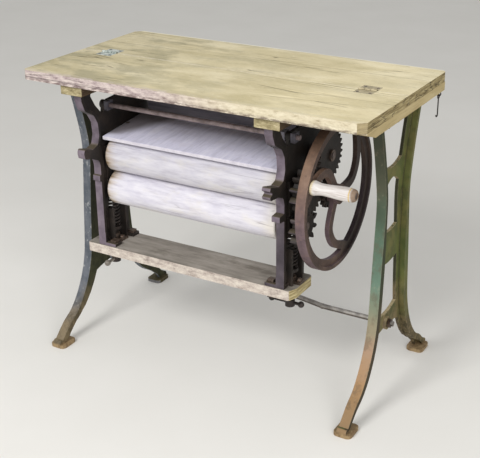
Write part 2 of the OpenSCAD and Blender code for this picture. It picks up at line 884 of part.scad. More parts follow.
cleat_y0 = front_board_y + 8;
cleat_y1 = seam_y - 6;
left_cleat_x = [wringer_x - frame_out - 22, wringer_x - frame_out + 41];
right_cleat_x = [wringer_x + frame_out - 35, wringer_x + frame_out + 29];
cleat_screw_r = 2.5;
cleat_screw_head_r = 5;
cleat_screw_head = 3;
cleat_screw_length = cleat_height + board_thickness - 6;

module cleat_screw_places() {
    for (xs = [left_cleat_x, right_cleat_x], x = [xs[0] + 10, xs[1] - 10], y = [cleat_y0 + 14, cleat_y1 - 8])
        translate([x, y, cleat_z]) children();
}

module cleat_screw_hole() {
    translate([0, 0, -1])
        cylinder(h = cleat_screw_length + 1.2, r = cleat_screw_r + hole_clearance, $fn = bore_fn);
    translate([0, 0, -1])
        cylinder(h = cleat_screw_head + 1, r = cleat_screw_head_r + hole_clearance, $fn = bore_fn);
}

module cleat(xs) {
    color("#cdb98c")
        difference() {
            translate([xs[0], cleat_y0, cleat_z])
                cube([xs[1] - xs[0], cleat_y1 - cleat_y0, cleat_height]);
            cleat_screw_places() cleat_screw_hole();
            pad_bolt_places() pad_bolt_hole();
        }
}

module left_cleat() {
    cleat(left_cleat_x);
}

module right_cleat() {
    cleat(right_cleat_x);
}

module cleat_screws() {
    color("#6b6258")
        cleat_screw_places() {
            cylinder(h = cleat_screw_length, r = cleat_screw_r, $fn = bore_fn);
            cylinder(h = cleat_screw_head, r = cleat_screw_head_r, $fn = bore_fn);
        }
}

// Cast side frames. Their shape is drawn in the Y and Z directions.

// Heights on the side frames, as shares of the distance from the cleats to the driven roller
function below(t) = cleat_z - t * roller_drop;

// Front line from the cleat down to the lug, as [y, z, radius]
front_line = [
    [flange_y - 56, cleat_z, 0],
    [flange_y - 56, below(0.11), 8],
    [flange_y - 45, below(0.26), 12],
    [flange_y - 14, below(0.36), 18],
    [flange_y, below(0.49), 20],
    [flange_y + 3, below(0.67), 20],
    [flange_y - 5, below(0.8), 10],
    [flange_y - 25, below(0.83), 0]
];
// Lug on the front; the right frame's has a notch in its end
function lug(side) = concat(
    [[flange_y + 6, below(0.83), 0], [flange_y - 25, below(0.835), 5]],
    side > 0 ? [
        [flange_y - 64, below(0.775), 4],
        [flange_y - 68, below(0.82), 3],
        [flange_y - 54, below(0.87), 3],
        [flange_y - 68, below(0.91), 3],
        [flange_y - 62, below(0.955), 4]
    ] : [
        [flange_y - 56, below(0.785), 5],
        [flange_y - 60, below(0.84), 6],
        [flange_y - 57, below(0.925), 6]
    ],
    [
        [flange_y - 28, below(0.97), 6],
        [flange_y - 4, below(1.03), 14],
        [flange_y, below(1.12), 10],
        [flange_y, below(1.34), 0],
        [flange_y + 8, below(1.34), 0],
        [flange_y + 14, below(1.1), 8]
    ]
);
function knob(reach) = [
    [flange_y + 2, below(1.25), 0],
    [flange_y - reach, below(1.26), 3],
    [flange_y - reach, below(1.34), 3],
    [flange_y + 2, below(1.36), 0]
];
back_line_left = [
    [frame_back_y, cross_board_z, 0],
    [frame_back_y, below(1.02), 24],
    [arm_y, below(0.73), 16],
    [arm_y, below(0.36), 16],
    [pad_y1 + 4, below(0.14), 12],
    [pad_y1 + 4, cleat_z, 0]
];
back_line_right = [
    [frame_back_y, cross_board_z, 0],
    [frame_back_y, wheel_z - 62, 22],
    [frame_back_y + 14, wheel_z - 34, 14],
    [wheel_y + 24, wheel_z - 30, 22],
    [arm_y, idler_z - 14, 20],
    [arm_y, idler_z + 52, 16],
    [pad_y1 + 4, below(0.14), 12],
    [pad_y1 + 4, cleat_z, 0]
];
// Opening in front of and over the tie rod
frame_window = [
    [flange_y - 18, cleat_z - pad_drop - 1, 6],
    [frame_back_y + 6, cleat_z - pad_drop - 1, 8],
    [frame_back_y, tie_rod_z + 12, 8],
    [tie_rod_y + 11, tie_rod_z + 10, 0],
    [tie_rod_y - 10, tie_rod_z + 2, 0],
    [tie_rod_y - 12, tie_rod_z - 25, 5],
    [tie_rod_y - 42, tie_rod_z + 8, 8]
];

module frame_outline(back_line) {
    difference() {
        polygon(concat(
            rounded_line(front_line),
            [[flange_y + 10, below(0.844)], [flange_y + 2, cross_board_z]],
            rounded_line(back_line)
        ));
        polygon(rounded(frame_window));
        translate([slot_y0, cross_board_z - 1])
            square([slot_width, slot_top - cross_board_z + 1]);
    }
}

module frame_flanges(side) {
    polygon(band(rounded_line(front_line), flange_thickness));
    polygon(rounded(lug(side)));
    polygon(rounded(knob(side > 0 ? 22 : 6)));
    translate([flange_y, cross_board_z])
        square([flange_thickness, below(1.23) - cross_board_z]);
    translate([frame_back_y - flange_thickness, cross_board_z])
        square([flange_thickness, wheel_z - 70 - cross_board_z]);
}

// Ribs beside the slot, below the sliding blocks
module slot_ribs() {
    for (y = [slot_y0 - slot_rib, slot_y1])
        translate([frame_in - 12, y, cross_board_z])
            cube([flange_width + 21, slot_rib, spring_top_z - slot_rib_room - cross_board_z]);
}

// Feet of both columns, standing on the cross board
module frame_feet() {
    for (ys = [[flange_y, slot_y0 - 2], [slot_y1 + 2, frame_back_y]])
        translate([foot_inner, ys[0], cross_board_z])
            cube([frame_out - foot_inner, ys[1] - ys[0], foot_height]);
    for (ys = [[flange_y, flange_y + 6], [frame_back_y - 6, frame_back_y]])
        along_x(frame_in - 1, web_in + 1)
            translate([ys[0], cross_board_z])
                square([ys[1] - ys[0], 34]);
}

module pad_bolt_places() {
    for (side = [-1, 1])
        wringer_side(side)
            for (y = pad_bolt_ys)
                translate([pad_bolt_x, y, cleat_z]) children();
}

module pad_bolt_hole() {
    translate([0, 0, -pad_drop - 1])
        cylinder(h = pad_drop + cleat_height + board_thickness - 5,
            r = pad_bolt_r + hole_clearance, $fn = bore_fn);
}

module foot_bolt_places() {
    for (side = [-1, 1])
        wringer_side(side)
            for (y = foot_bolt_ys)
                translate([foot_bolt_x, y, cross_board_z]) children();
}

module foot_bolt_hole() {
    translate([0, 0, -cross_board_thickness - 1])
        cylinder(h = cross_board_thickness + foot_height + 2,
            r = foot_bolt_r + hole_clearance, $fn = bore_fn);
}

// Position of the drip board: x0 at the left side frame, y along its slope
module drip_frame() {
    translate([wringer_x, drip_y0, driven_z + roller_r + 0.4])
        rotate([drip_board_slope, 0, 0]) children();
}

module side_frame(side, back_line) {
    color("#3a302b")
        difference() {
            union() {
                wringer_side(side) {
                    along_x(web_in, web_out) frame_outline(back_line);
                    along_x(frame_in, frame_out) frame_flanges(side);
                    frame_feet();
                    slot_ribs();
                    translate([web_in, pad_y0, cleat_z - pad_drop])
                        cube([pad_out - web_in, pad_y1 - pad_y0, pad_drop]);
                    at_yz(tie_rod_y, tie_rod_z)
                        rod_x(web_in - 3, web_out + 3, tie_rod_r + 5);
                    if (side > 0) {
                        at_yz(wheel_y, wheel_z)
                            rod_x(web_in - 4, cog_x + 12 - wringer_x, shaft_r + boss_wall);
                        at_yz(idler_y, idler_z)
                            rod_x(web_in - 4, cog_x - 2 - wringer_x, stud_in_r + boss_wall);
                    }
                }
                drip_ledge(side);
            }
            wringer_side(side) {
                at_yz(tie_rod_y, tie_rod_z)
                    rod_x(web_in - 10, web_out + 10, tie_rod_r + hole_clearance);
                if (side > 0) {
                    at_yz(wheel_y, wheel_z)
                        rod_x(web_in - 10, fine_x - wringer_x, shaft_r + running_clearance);
                    at_yz(idler_y, idler_z)
                        rod_x(web_in - 10, fine_x - wringer_x, stud_in_r + hole_clearance);
                }
                retaining_bolt_hole();
            }
            pad_bolt_places() pad_bolt_hole();
            foot_bolt_places() foot_bolt_hole();
            drip_screw_places() drip_screw_hole();
        }
}

module drip_ledge(side) {
    drip_frame()
        translate([side > 0 ? frame_in - ledge_width : -frame_in - 8, ledge_y0 - drip_y0, -ledge_height])
            cube([ledge_width + 8, ledge_y1 - ledge_y0, ledge_height]);
}

module left_side_frame() {
    side_frame(-1, back_line_left);
}

module right_side_frame() {
    side_frame(1, back_line_right);
}

module side_frame_bolts() {
    color("#4b423a")
        pad_bolt_places() {
            translate([0, 0, -pad_drop - 7])
                cylinder(h = 7, r = 8, $fn = 6);
            translate([0, 0, -pad_drop - 1])
                cylinder(h = pad_drop + cleat_height + board_thickness - 6, r = pad_bolt_r, $fn = bore_fn);
        }
}

// Tie rod between the side frames. It ends in the left frame's boss, behind one square nut,
// and passes through the right frame between two.

tie_nut_width = 11;
tie_nut_size = 24;

module tie_rod() {
    color("#6d6058")
        translate([wringer_x, tie_rod_y, tie_rod_z])
            rod_x(-web_out - 3, web_out + 22, tie_rod_r);
}

module tie_rod_nuts() {
    color("#75696a")
        for (side = [-1, 1])
            wringer_side(side)
                for (x = side < 0 ? [web_in - 3 - tie_nut_width] : [web_in - 3 - tie_nut_width, web_out + 3])
                    translate([x, tie_rod_y, tie_rod_z])
                        difference() {
                            translate([0, -tie_nut_size / 2, -tie_nut_size / 2])
                                cube([tie_nut_width, tie_nut_size, tie_nut_size]);
                            rod_x(-1, tie_nut_width + 1, tie_rod_r + hole_clearance);
                        }
}

// Sloping drip board behind the driven roller

back_board = 12;
drip_screw_r = 2.5;
drip_screw_length = drip_board_thickness + ledge_height - 1;

module drip_screw_places() {
    drip_frame()
        for (s = [-1, 1], y = [ledge_y0 + 6, ledge_y1 - 6])
            translate([s * (frame_in - ledge_width / 2), y - drip_y0, drip_board_thickness])
                children();
}

// Screws that hold the back board, from below
module back_screw_places() {
    drip_frame()
        for (t = [-0.8, -0.3, 0.3, 0.8])
            translate([t * (frame_in - ledge_width), drip_depth - back_board / 2, 0]) children();
}

module back_screw_hole() {
    translate([0, 0, -1])
        cylinder(h = drip_board_thickness + 21, r = drip_screw_r + hole_clearance, $fn = bore_fn);
    translate([0, 0, -1])
        cylinder(h = 2.5, r = 4 + hole_clearance, $fn = bore_fn);
}

module drip_screw_hole() {
    translate([0, 0, -drip_screw_length - 0.5])
        cylinder(h = drip_screw_length + 2, r = drip_screw_r + hole_clearance, $fn = bore_fn);
    translate([0, 0, -1.5])
        cylinder(h = 5, r = 5 + hole_clearance, $fn = bore_fn);
}

module drip_board() {
    color("#a7a4ab")
        difference() {
            drip_frame()
                translate([-frame_in + 1, 0, 0])
                    cube([frame_clear - 2, drip_depth, drip_board_thickness]);
            drip_screw_places() drip_screw_hole();
            back_screw_places() back_screw_hole();
        }
}

module drip_back_board() {
    color("#5f5a60")
        difference() {
            drip_frame()
                translate([-frame_in + 1, drip_depth - back_board, drip_board_thickness])
                    cube([frame_clear - 2, back_board, back_board_height]);
            back_screw_places() back_screw_hole();
        }
}

module drip_board_screws() {
    color("#6b6258") {
        drip_screw_places() {
            translate([0, 0, -drip_screw_length])
                cylinder(h = drip_screw_length, r = drip_screw_r, $fn = bore_fn);
            translate([0, 0, -1.5])
                cylinder(h = 1.5, r = 5, $fn = bore_fn);
        }
        back_screw_places() {
            cylinder(h = drip_board_thickness + 19, r = drip_screw_r, $fn = bore_fn);
            cylinder(h = 1.5, r = 4, $fn = bore_fn);
        }
    }
}

// Cross board that closes the slots and carries the pressure screws

cross_x0 = wringer_x - frame_out - cross_board_overhang - 10;
cross_x1 = wringer_x + frame_out + cross_board_overhang;
cross_y0 = flange_y - 3;
cross_y1 = frame_back_y + 1;

module cross_board() {
    color("#b9a996")
        difference() {
            translate([0, 0, cross_board_z - cross_board_thickness])
                linear_extrude(height = cross_board_thickness)
                    polygon(rounded([
                        [cross_x0, cross_y0, 4],
                        [cross_x1 - 10, cross_y0, 6],
                        [cross_x1, cross_y0 + 24, 8],
                        [cross_x1, cross_y1, 10],
                        [cross_x0, cross_y1, 4]
                    ]));
            foot_bolt_places() foot_bolt_hole();
            nut_bolt_places() nut_bolt_hole();
            for (x = screw_xs)
                translate([x, roller_y, cross_board_z - cross_board_thickness - 1])
                    cylinder(h = cross_board_thickness + 2, r = screw_r + 0.5, $fn = bore_fn);
        }
}

module cross_board_bolts() {
    color("#5b4a3e")
        foot_bolt_places() {
            translate([0, 0, foot_height])
                translate([-8, -8, 0]) cube([16, 16, 7]);
            translate([0, 0, -cross_board_thickness - 9])
                cylinder(h = cross_board_thickness + 9 + foot_height + 1, r = foot_bolt_r, $fn = bore_fn);
        }
}

module cross_board_nuts() {
    color("#5b4a3e")
        foot_bolt_places()
            translate([0, 0, -cross_board_thickness - 8])
                difference() {
                    translate([-8.5, -8.5, 0]) cube([17, 17, 8]);
                    translate([0, 0, -1])
                        cylinder(h = 10, r = foot_bolt_r + hole_clearance, $fn = bore_fn);
                }
}

// Bearing blocks that ride on the edges of the slots. The fixed ones reach down to the sliding ones.

module bearing_block(side, z, low, bore) {
    height = z + block_height / 2 - low;
    wringer_side(side)
        difference() {
            translate([block_in, slot_y0 - block_flange, low])
                cube([block_out - block_in, slot_width + 2 * block_flange, height]);
            for (s = [-1, 1])
                translate([web_in - slide_clearance,
                        roller_y + s * (slot_width / 2 + block_flange) - block_flange - slide_clearance,
                        low - 1])
                    cube([frame_web + 2 * slide_clearance, 2 * block_flange + 2 * slide_clearance,
                        height + 2]);
            at_yz(roller_y, z)
                rod_x(block_in - 1, block_out + 1, bore);
        }
}

module driven_bearing_blocks() {
    color("#4a4038")
        difference() {
            for (side = [-1, 1])
                bearing_block(side, driven_z, spring_top_z + block_height + 3,
                    shaft_r + running_clearance);
            for (side = [-1, 1]) wringer_side(side) retaining_bolt_hole();
        }
}

module pressure_bearing_blocks() {
    color("#4a4038")
        for (side = [-1, 1])
            bearing_block(side, pressure_z, spring_top_z, shaft_r + running_clearance);
}

// Bolts through the rear columns that hold the fixed blocks
retaining_r = 3;
retaining_z = driven_z + 6;
retaining_y0 = roller_y + shaft_r + 4;
retaining_y1 = frame_back_y + 1;

module retaining_bolt_hole() {
    translate([web_mid, retaining_y0, retaining_z])
        rotate([-90, 0, 0])
            cylinder(h = 80, r = retaining_r + hole_clearance, $fn = bore_fn);
    translate([web_mid - 8, retaining_y1, retaining_z - 8])
        cube([16, 60, 16]);
}

module block_retaining_bolts() {
    color("#5b4a3e")
        for (side = [-1, 1])
            wringer_side(side)
                translate([web_mid, 0, retaining_z]) {
                    translate([0, retaining_y0 + 1, 0])
                        rotate([-90, 0, 0])
                            cylinder(h = retaining_y1 - retaining_y0, r = retaining_r, $fn = bore_fn);
                    translate([0, retaining_y1, 0])
                        rotate([-90, 0, 0])
                            cylinder(h = 6, r = 6.5, $fn = 6);
                }
}

// Rollers with their shafts and cogs

module roller(z) {
    color("#ddd8d4")
        translate([wringer_x - roller_half, roller_y, z])
            rotate([0, 90, 0])
                rotate_extrude($fn = 96)
                    polygon(rounded([
                        [shaft_r + running_clearance, 0, 0],
                        [roller_r, 0, roller_edge_r],
                        [roller_r, roller_length, roller_edge_r],
                        [shaft_r + running_clearance, roller_length, 0]
                    ]));
}

module roller_shaft(z, x1) {
    color("#6a5d55")
        translate([0, roller_y, z])
            rod_x(wringer_x - block_out - 5, x1, shaft_r);
}

module cog_wheel(z, phase) {
    color("#332a26")
        difference() {
            union() {
                at_yz(roller_y, z) {
                    along_x(cog_x, cog_x + cog_width) cog(phase);
                    rod_x(wringer_x + block_out + 1.5, cog_x + 1, shaft_r + 7);
                }
            }
            at_yz(roller_y, z)
                rod_x(wringer_x + block_out, cog_x + cog_width + 1, shaft_r + running_clearance);
        }
}

module driven_roller() {
    roller(driven_z);
}

module driven_roller_shaft() {
    roller_shaft(driven_z, fine_x + fine_width + 1);
}

module driven_cog() {
    cog_wheel(driven_z, driven_cog_phase);
}

module driven_spur_gear() {
    color("#332a26")
        at_yz(roller_y, driven_z)
            difference() {
                along_x(fine_x, fine_x + fine_width) fine_gear(driven_teeth, driven_phase);
                rod_x(fine_x - 1, fine_x + fine_width + 1, shaft_r + running_clearance);
            }
}

module pressure_roller() {
    roller(pressure_z);
}

module pressure_roller_shaft() {
    roller_shaft(pressure_z, cog_x + cog_width + 1);
}

module pressure_cog() {
    cog_wheel(pressure_z, pressure_cog_phase);
}

// Idler between the handwheel's pinion and the driven roller's gear

idler_end_x = spoke_x - 2;

module idler_stud() {
    color("#6a5d55")
        translate([0, idler_y, idler_z])
            rod_x(wringer_x + web_in - 6, idler_end_x, stud_in_r);
}

module idler_collar() {
    color("#5b4a3e")
        translate([0, idler_y, idler_z])
            difference() {
                rod_x(fine_x + fine_width + 0.3, idler_end_x - 1.5, stud_in_r + 6);
                rod_x(fine_x, idler_end_x, stud_in_r + hole_clearance);
            }
}

module idler_gear() {
    color("#332a26")
        at_yz(idler_y, idler_z)
            difference() {
                union() {
                    along_x(fine_x, fine_x + fine_width) fine_gear(idler_teeth, idler_phase);
                    rod_x(cog_x - 1.5, fine_x + 1, stud_in_r + 8);
                }
                rod_x(cog_x - 3, fine_x + fine_width + 1, stud_in_r + running_clearance);
            }
}

// Handwheel with curved spokes

// Middle line of a spoke, in degrees and share of the rim's inner radius
spoke_knots = [
    for (p = [[0, 0.1], [3, 0.38], [9, 0.58], [24, 0.76], [38, 0.89], [50, 1.03]])
        let(r = p[1] * rim_inner_r) [r * cos(p[0]), r * sin(p[0])]
];
spoke_line = smooth(spoke_knots, 4);

module spoke() {
    polygon(concat(
        [for (i = [0 : len(spoke_line) - 1])
            spoke_line[i] + side_of(spoke_line, i) * spoke_width / 2],
        reversed([for (i = [0 : len(spoke_line) - 1])
            spoke_line[i] - side_of(spoke_line, i) * spoke_width / 2])
    ));
}

module handwheel() {
    color("#54413a")
        difference() {
            union() {
                translate([rim_x, wheel_y, wheel_z])
                    rotate([0, 90, 0])
                        rotate_extrude($fn = 96) {
                            translate([wheel_r - rim_thickness, 0])
                                square([rim_thickness, rim_width]);
                            translate([rim_inner_r, (rim_width - rim_rib_width) / 2])
                                square([rim_rib + 1, rim_rib_width]);
                        }
                at_yz(wheel_y, wheel_z) {
                    along_x(spoke_x, spoke_x + spoke_thickness)
                        for (k = [0 : spokes - 1]) rotate(360 * k / spokes) spoke();
                    rod_x(hub_x, hub_x + hub_width, hub_r);
                }
                at_yz(handle_y, handle_z)
                    rod_x(rim_x + 2, rim_x + rim_width, handle_boss_r);
            }
            at_yz(wheel_y, wheel_z)
                rod_x(hub_x - 1, hub_x + hub_width + 1, shaft_r + running_clearance);
            at_yz(handle_y, handle_z)
                rod_x(rim_x - 1, rim_x + rim_width + 1, stud_r + hole_clearance);
        }
}

drive_shaft_x0 = wringer_x + web_in - 6;

module drive_shaft() {
    color("#6a5d55")
        at_yz(wheel_y, wheel_z) {
            rod_x(drive_shaft_x0, hub_x + hub_width + wheel_nut_width + 2, shaft_r);
            rod_x(drive_shaft_x0 - 4, drive_shaft_x0 + 1.5, shaft_r + 4);
        }
}

module drive_pinion() {
    color("#332a26")
        at_yz(wheel_y, wheel_z)
            difference() {
                union() {
                    along_x(fine_x, fine_x + fine_width) fine_gear(pinion_teeth, pinion_phase);
                    rod_x(cog_x + 12.5, fine_x + 1, shaft_r + 6);
                }
                rod_x(cog_x, fine_x + fine_width + 1, shaft_r + running_clearance);
            }
}

module handwheel_nut() {
    color("#5b4a3e")
        translate([hub_x + hub_width, wheel_y, wheel_z])
            rotate([0, 90, 0])
                difference() {
                    cylinder(h = wheel_nut_width, r = 17, $fn = 6);
                    translate([0, 0, -1])
                        cylinder(h = wheel_nut_width + 2, r = shaft_r + hole_clearance, $fn = bore_fn);
                }
}

// Turned handle on its stud

module handle_stud() {
    color("#6a5d55")
        at_yz(handle_y, handle_z) {
            rod_x(rim_x - 1, grip_x + grip_length - 2, stud_r);
            rod_x(rim_x - 1.5, rim_x + 2, stud_r + 5);
            rod_x(grip_x + grip_length - 8, grip_x + grip_length - 2, stud_r + 3);
        }
}

// Radius of the grip along its length: a flared foot, a waist and a long swell
grip_knots = [
    [0, 0.97], [0.05, 1.02], [0.13, 0.9], [0.24, 0.8], [0.42, 0.84],
    [0.62, 0.93], [0.78, 0.96], [0.9, 0.92], [0.97, 0.8], [1, 0.62]
];
grip_line = [for (p = smooth(grip_knots, 3)) [p[1] * grip_r, p[0] * grip_length]];

module handle_grip() {
    color("#e3ddd2")
        translate([grip_x, handle_y, handle_z])
            rotate([0, 90, 0])
                difference() {
                    rotate_extrude($fn = 48)
                        polygon(concat([[0, 0]], grip_line, [[0, grip_length]]));
                    translate([0, 0, -1])
                        cylinder(h = grip_length + 2, r = stud_r + running_clearance, $fn = bore_fn);
                    translate([0, 0, grip_length - 9])
                        cylinder(h = 10, r = stud_r + 3 + running_clearance, $fn = bore_fn);
                }
}

// Pressure springs, seats and screws

// One unbroken tube wound round a vertical axis
spring_steps = 8;
spring_sides = 6;
spring_z0 = spring_seat_z + spring_wire_r + 0.3;
spring_z1 = spring_top_z - spring_wire_r - 0.3;
spring_rings = spring_coils * spring_steps;
spring_pitch = (spring_z1 - spring_z0) / spring_coils;
function spring_centre(i) =
    let(a = 360 * i / spring_steps)
    [spring_r * cos(a), spring_r * sin(a), spring_z0 + spring_pitch * i / spring_steps];
function spring_ring(i) =
    let(a = 360 * i / spring_steps, out = [cos(a), sin(a), 0])
    let(along = unit([-2 * PI * spring_r * sin(a), 2 * PI * spring_r * cos(a), spring_pitch]))
    let(up = cross(out, along))
    [for (k = [0 : spring_sides - 1])
        let(b = 360 * k / spring_sides)
        spring_centre(i) + spring_wire_r * (cos(b) * out + sin(b) * up)];
spring_points = [for (i = [0 : spring_rings]) each spring_ring(i)];
spring_faces = concat(
    [for (i = [0 : spring_rings - 1], k = [0 : spring_sides - 1])
        let(a = i * spring_sides + k, b = i * spring_sides + (k + 1) % spring_sides)
        each [[a, a + spring_sides, b], [b, a + spring_sides, b + spring_sides]]],
    [for (k = [1 : spring_sides - 2]) [0, k, k + 1]],
    [for (k = [1 : spring_sides - 2])
        let(e = spring_rings * spring_sides) [e, e + k + 1, e + k]]
);
spring_gap = min([
    for (i = [0 : spring_rings], j = [i + spring_steps / 2 : 1 : spring_rings])
        norm(spring_centre(i) - spring_centre(j))
]) - 2 * spring_wire_r;
echo(str("Least gap between the turns of a spring: ", spring_gap, " mm"));

module spring(x) {
    color("#463b36")
        translate([x, roller_y, 0])
            polyhedron(points = spring_points, faces = spring_faces);
}

module left_spring() {
    spring(screw_xs[0]);
}

module right_spring() {
    spring(screw_xs[1]);
}

module spring_seat(x) {
    color("#4b423a")
        translate([x, roller_y, spring_seat_z - seat_height])
            difference() {
                cylinder(h = seat_height, r = seat_r);
                translate([0, 0, -1])
                    cylinder(h = seat_height / 2 + 1, r = screw_r + running_clearance, $fn = bore_fn);
            }
}

module left_spring_seat() {
    spring_seat(screw_xs[0]);
}

module right_spring_seat() {
    spring_seat(screw_xs[1]);
}

module pressure_screw_nuts() {
    color("#5b4a3e")
        difference() {
            for (x = screw_xs)
                translate([x, roller_y, cross_board_z]) {
                    translate([-screw_nut_length / 2, -screw_nut_width / 2, 0])
                        cube([screw_nut_length, screw_nut_width, screw_nut_flange]);
                    cylinder(h = screw_nut_height, r = screw_nut_width / 2);
                }
            for (x = screw_xs)
                translate([x, roller_y, cross_board_z - 1])
                    cylinder(h = screw_nut_height + 2, r = screw_r + running_clearance, $fn = bore_fn);
            nut_bolt_places() nut_bolt_hole();
        }
}

module nut_bolt_places() {
    for (x = screw_xs, s = [-1, 1])
        translate([x + s * (screw_nut_length / 2 - 9), roller_y, cross_board_z]) children();
}

module nut_bolt_hole() {
    translate([0, 0, -nut_bolt_length - 1])
        cylinder(h = nut_bolt_length + screw_nut_flange + 2, r = nut_bolt_r + hole_clearance,
            $fn = bore_fn);
}

module nut_flange_bolts() {
    color("#5b4a3e")
        nut_bolt_places() {
            translate([0, 0, -nut_bolt_length])
                cylinder(h = nut_bolt_length + screw_nut_flange + 1, r = nut_bolt_r, $fn = bore_fn);
            translate([0, 0, screw_nut_flange])
                rotate_extrude($fn = bore_fn)
                    polygon([[0, 0], [7.5, 0], [7.2, 2.5], [5.6, 5], [3, 6.6], [0, 7]]);
        }
}

module pressure_screw(x, bar_angle) {
    color("#5b4a3e")
        translate([x, roller_y, screw_head_z])
            difference() {
                union() {
                    cylinder(h = spring_seat_z - seat_height / 2 - screw_head_z - 0.2, r = screw_r,
                        $fn = bore_fn);
                    cylinder(h = screw_head_height, r = screw_head_r);
                }
                rotate([0, 0, bar_angle])
                    translate([0, 0, screw_head_height / 2])
                        rod_x(-screw_head_r - 1, screw_head_r + 1, screw_bar_r + hole_clearance);
            }
}

module left_pressure_screw() {
    pressure_screw(screw_xs[0], 93);
}

module right_pressure_screw() {
    pressure_screw(screw_xs[1], 0);
}

module screw_bar(x, bar_angle, slip) {
    color("#5b4a3e")
        translate([x, roller_y, screw_head_z + screw_head_height / 2])
            rotate([0, 0, bar_angle])
                translate([slip, 0, 0]) {
                    rod_x(-screw_bar_length / 2, screw_bar_length / 2, screw_bar_r);
                    for (s = [-1, 1])
                        translate([s * screw_bar_length / 2, 0, 0])
                            rotate([0, 90, 0]) sphere(r = screw_knob_r, $fn = bore_fn);
                }
}

module left_screw_bar() {
    screw_bar(screw_xs[0], 93, 0);
}

module right_screw_bar() {
    screw_bar(screw_xs[1], 0, -10);
}

rear_board();
left_bearer();
right_bearer();
bearer_screws();
left_leg_frame();
right_leg_frame();
leg_frame_screws();
stretcher_rod();
stretcher_nuts();
rear_hinge_leaves();
hinge_pins();
rear_hinge_screws();
latch_eye();
latch_hook();
front_board();
front_hinge_leaves();
front_hinge_screws();
left_cleat();
right_cleat();
cleat_screws();
left_side_frame();
right_side_frame();
side_frame_bolts();
tie_rod();
tie_rod_nuts();
drip_board();
drip_back_board();
drip_board_screws();
cross_board();
cross_board_bolts();
cross_board_nuts();
driven_bearing_blocks();
block_retaining_bolts();
pressure_screw_nuts();
nut_flange_bolts();
idler_stud();
idler_collar();
left_spring();
right_spring();
driven_roller();
driven_roller_shaft();
driven_cog();
driven_spur_gear();
pressure_bearing_blocks();
pressure_roller();
pressure_roller_shaft();
pressure_cog();
idler_gear();
handwheel();
drive_shaft();
drive_pinion();
handwheel_nut();
handle_stud();
handle_grip();
left_spring_seat();
right_spring_seat();
left_pressure_screw();
right_pressure_screw();
left_screw_bar();
right_screw_bar();
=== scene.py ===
"""Looks of the folding table mangle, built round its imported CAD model."""

import math

import bpy
from mathutils import Matrix, Vector


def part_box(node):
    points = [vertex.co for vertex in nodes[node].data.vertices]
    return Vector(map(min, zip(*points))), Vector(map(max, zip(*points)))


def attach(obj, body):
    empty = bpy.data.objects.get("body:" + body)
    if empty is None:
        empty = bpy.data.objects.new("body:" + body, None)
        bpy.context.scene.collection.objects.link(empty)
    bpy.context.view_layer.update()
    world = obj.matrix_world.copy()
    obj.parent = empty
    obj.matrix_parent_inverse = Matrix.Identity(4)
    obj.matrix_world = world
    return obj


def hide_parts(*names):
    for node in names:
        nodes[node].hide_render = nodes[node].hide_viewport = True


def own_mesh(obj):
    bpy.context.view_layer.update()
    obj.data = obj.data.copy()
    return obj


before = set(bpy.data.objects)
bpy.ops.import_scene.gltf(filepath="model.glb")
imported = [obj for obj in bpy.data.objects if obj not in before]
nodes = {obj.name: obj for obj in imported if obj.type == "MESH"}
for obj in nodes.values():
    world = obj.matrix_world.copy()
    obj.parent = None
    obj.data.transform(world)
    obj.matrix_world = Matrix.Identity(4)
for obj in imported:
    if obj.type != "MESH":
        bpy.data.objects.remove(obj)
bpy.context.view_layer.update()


def add_object(name, data):
    """A new object in the scene."""
    made = bpy.data.objects.new(name, data)
    bpy.context.scene.collection.objects.link(made)
    return made


# Camera, fitted to the photograph

CAMERA_AT = (1.24282, -2.07322, 1.40091)
CAMERA_YAW = -29.7719
CAMERA_PITCH = -23.2732
CAMERA_ROLL = -0.2873
CAMERA_LENS = 77.125
CAMERA_SHIFT = (-0.03586, -0.01502)
CAMERA_SENSOR = 36
CAMERA_CLIP = (0.05, 40)


def make_camera():
    yaw, pitch, roll = (math.radians(a) for a in (CAMERA_YAW, CAMERA_PITCH, CAMERA_ROLL))
    ahead = Vector((
        math.sin(yaw) * math.cos(pitch),
        math.cos(yaw) * math.cos(pitch),
        math.sin(pitch),
    ))
    level = ahead.cross(Vector((0, 0, 1))).normalized()
    upright = level.cross(ahead)
    right = level * math.cos(roll) + upright * math.sin(roll)
    up = upright * math.cos(roll) - level * math.sin(roll)
    data = bpy.data.cameras.new("camera")
    data.lens = CAMERA_LENS
    data.sensor_width = CAMERA_SENSOR
    data.shift_x, data.shift_y = CAMERA_SHIFT
    data.clip_start, data.clip_end = CAMERA_CLIP
    camera = add_object("camera", data)
    turn = Matrix((right, up, -ahead)).transposed().to_4x4()
    camera.matrix_world = Matrix.Translation(CAMERA_AT) @ turn
    bpy.context.scene.camera = camera


make_camera()


# Colours

def srgb(r, g, b):
    """A colour given as 0 to 255 on screen, as the linear colour that the shaders take."""
    def linear(v):
        v /= 255
        return v / 12.92 if v <= 0.04045 else ((v + 0.055) / 1.055) ** 2.4
    return (linear(r), linear(g), linear(b), 1)


# Node building

# Sockets of the colour mix node
MIX_SHARE, MIX_A, MIX_B = 0, 6, 7
MIX_RESULT = 2

# Full inner part of a dot, as a share of its radius
DOT_CORE = 0.6

# Bend of the surface where the wear on an edge starts, and where it is full
EDGE_BEND = (0.02, 0.16)


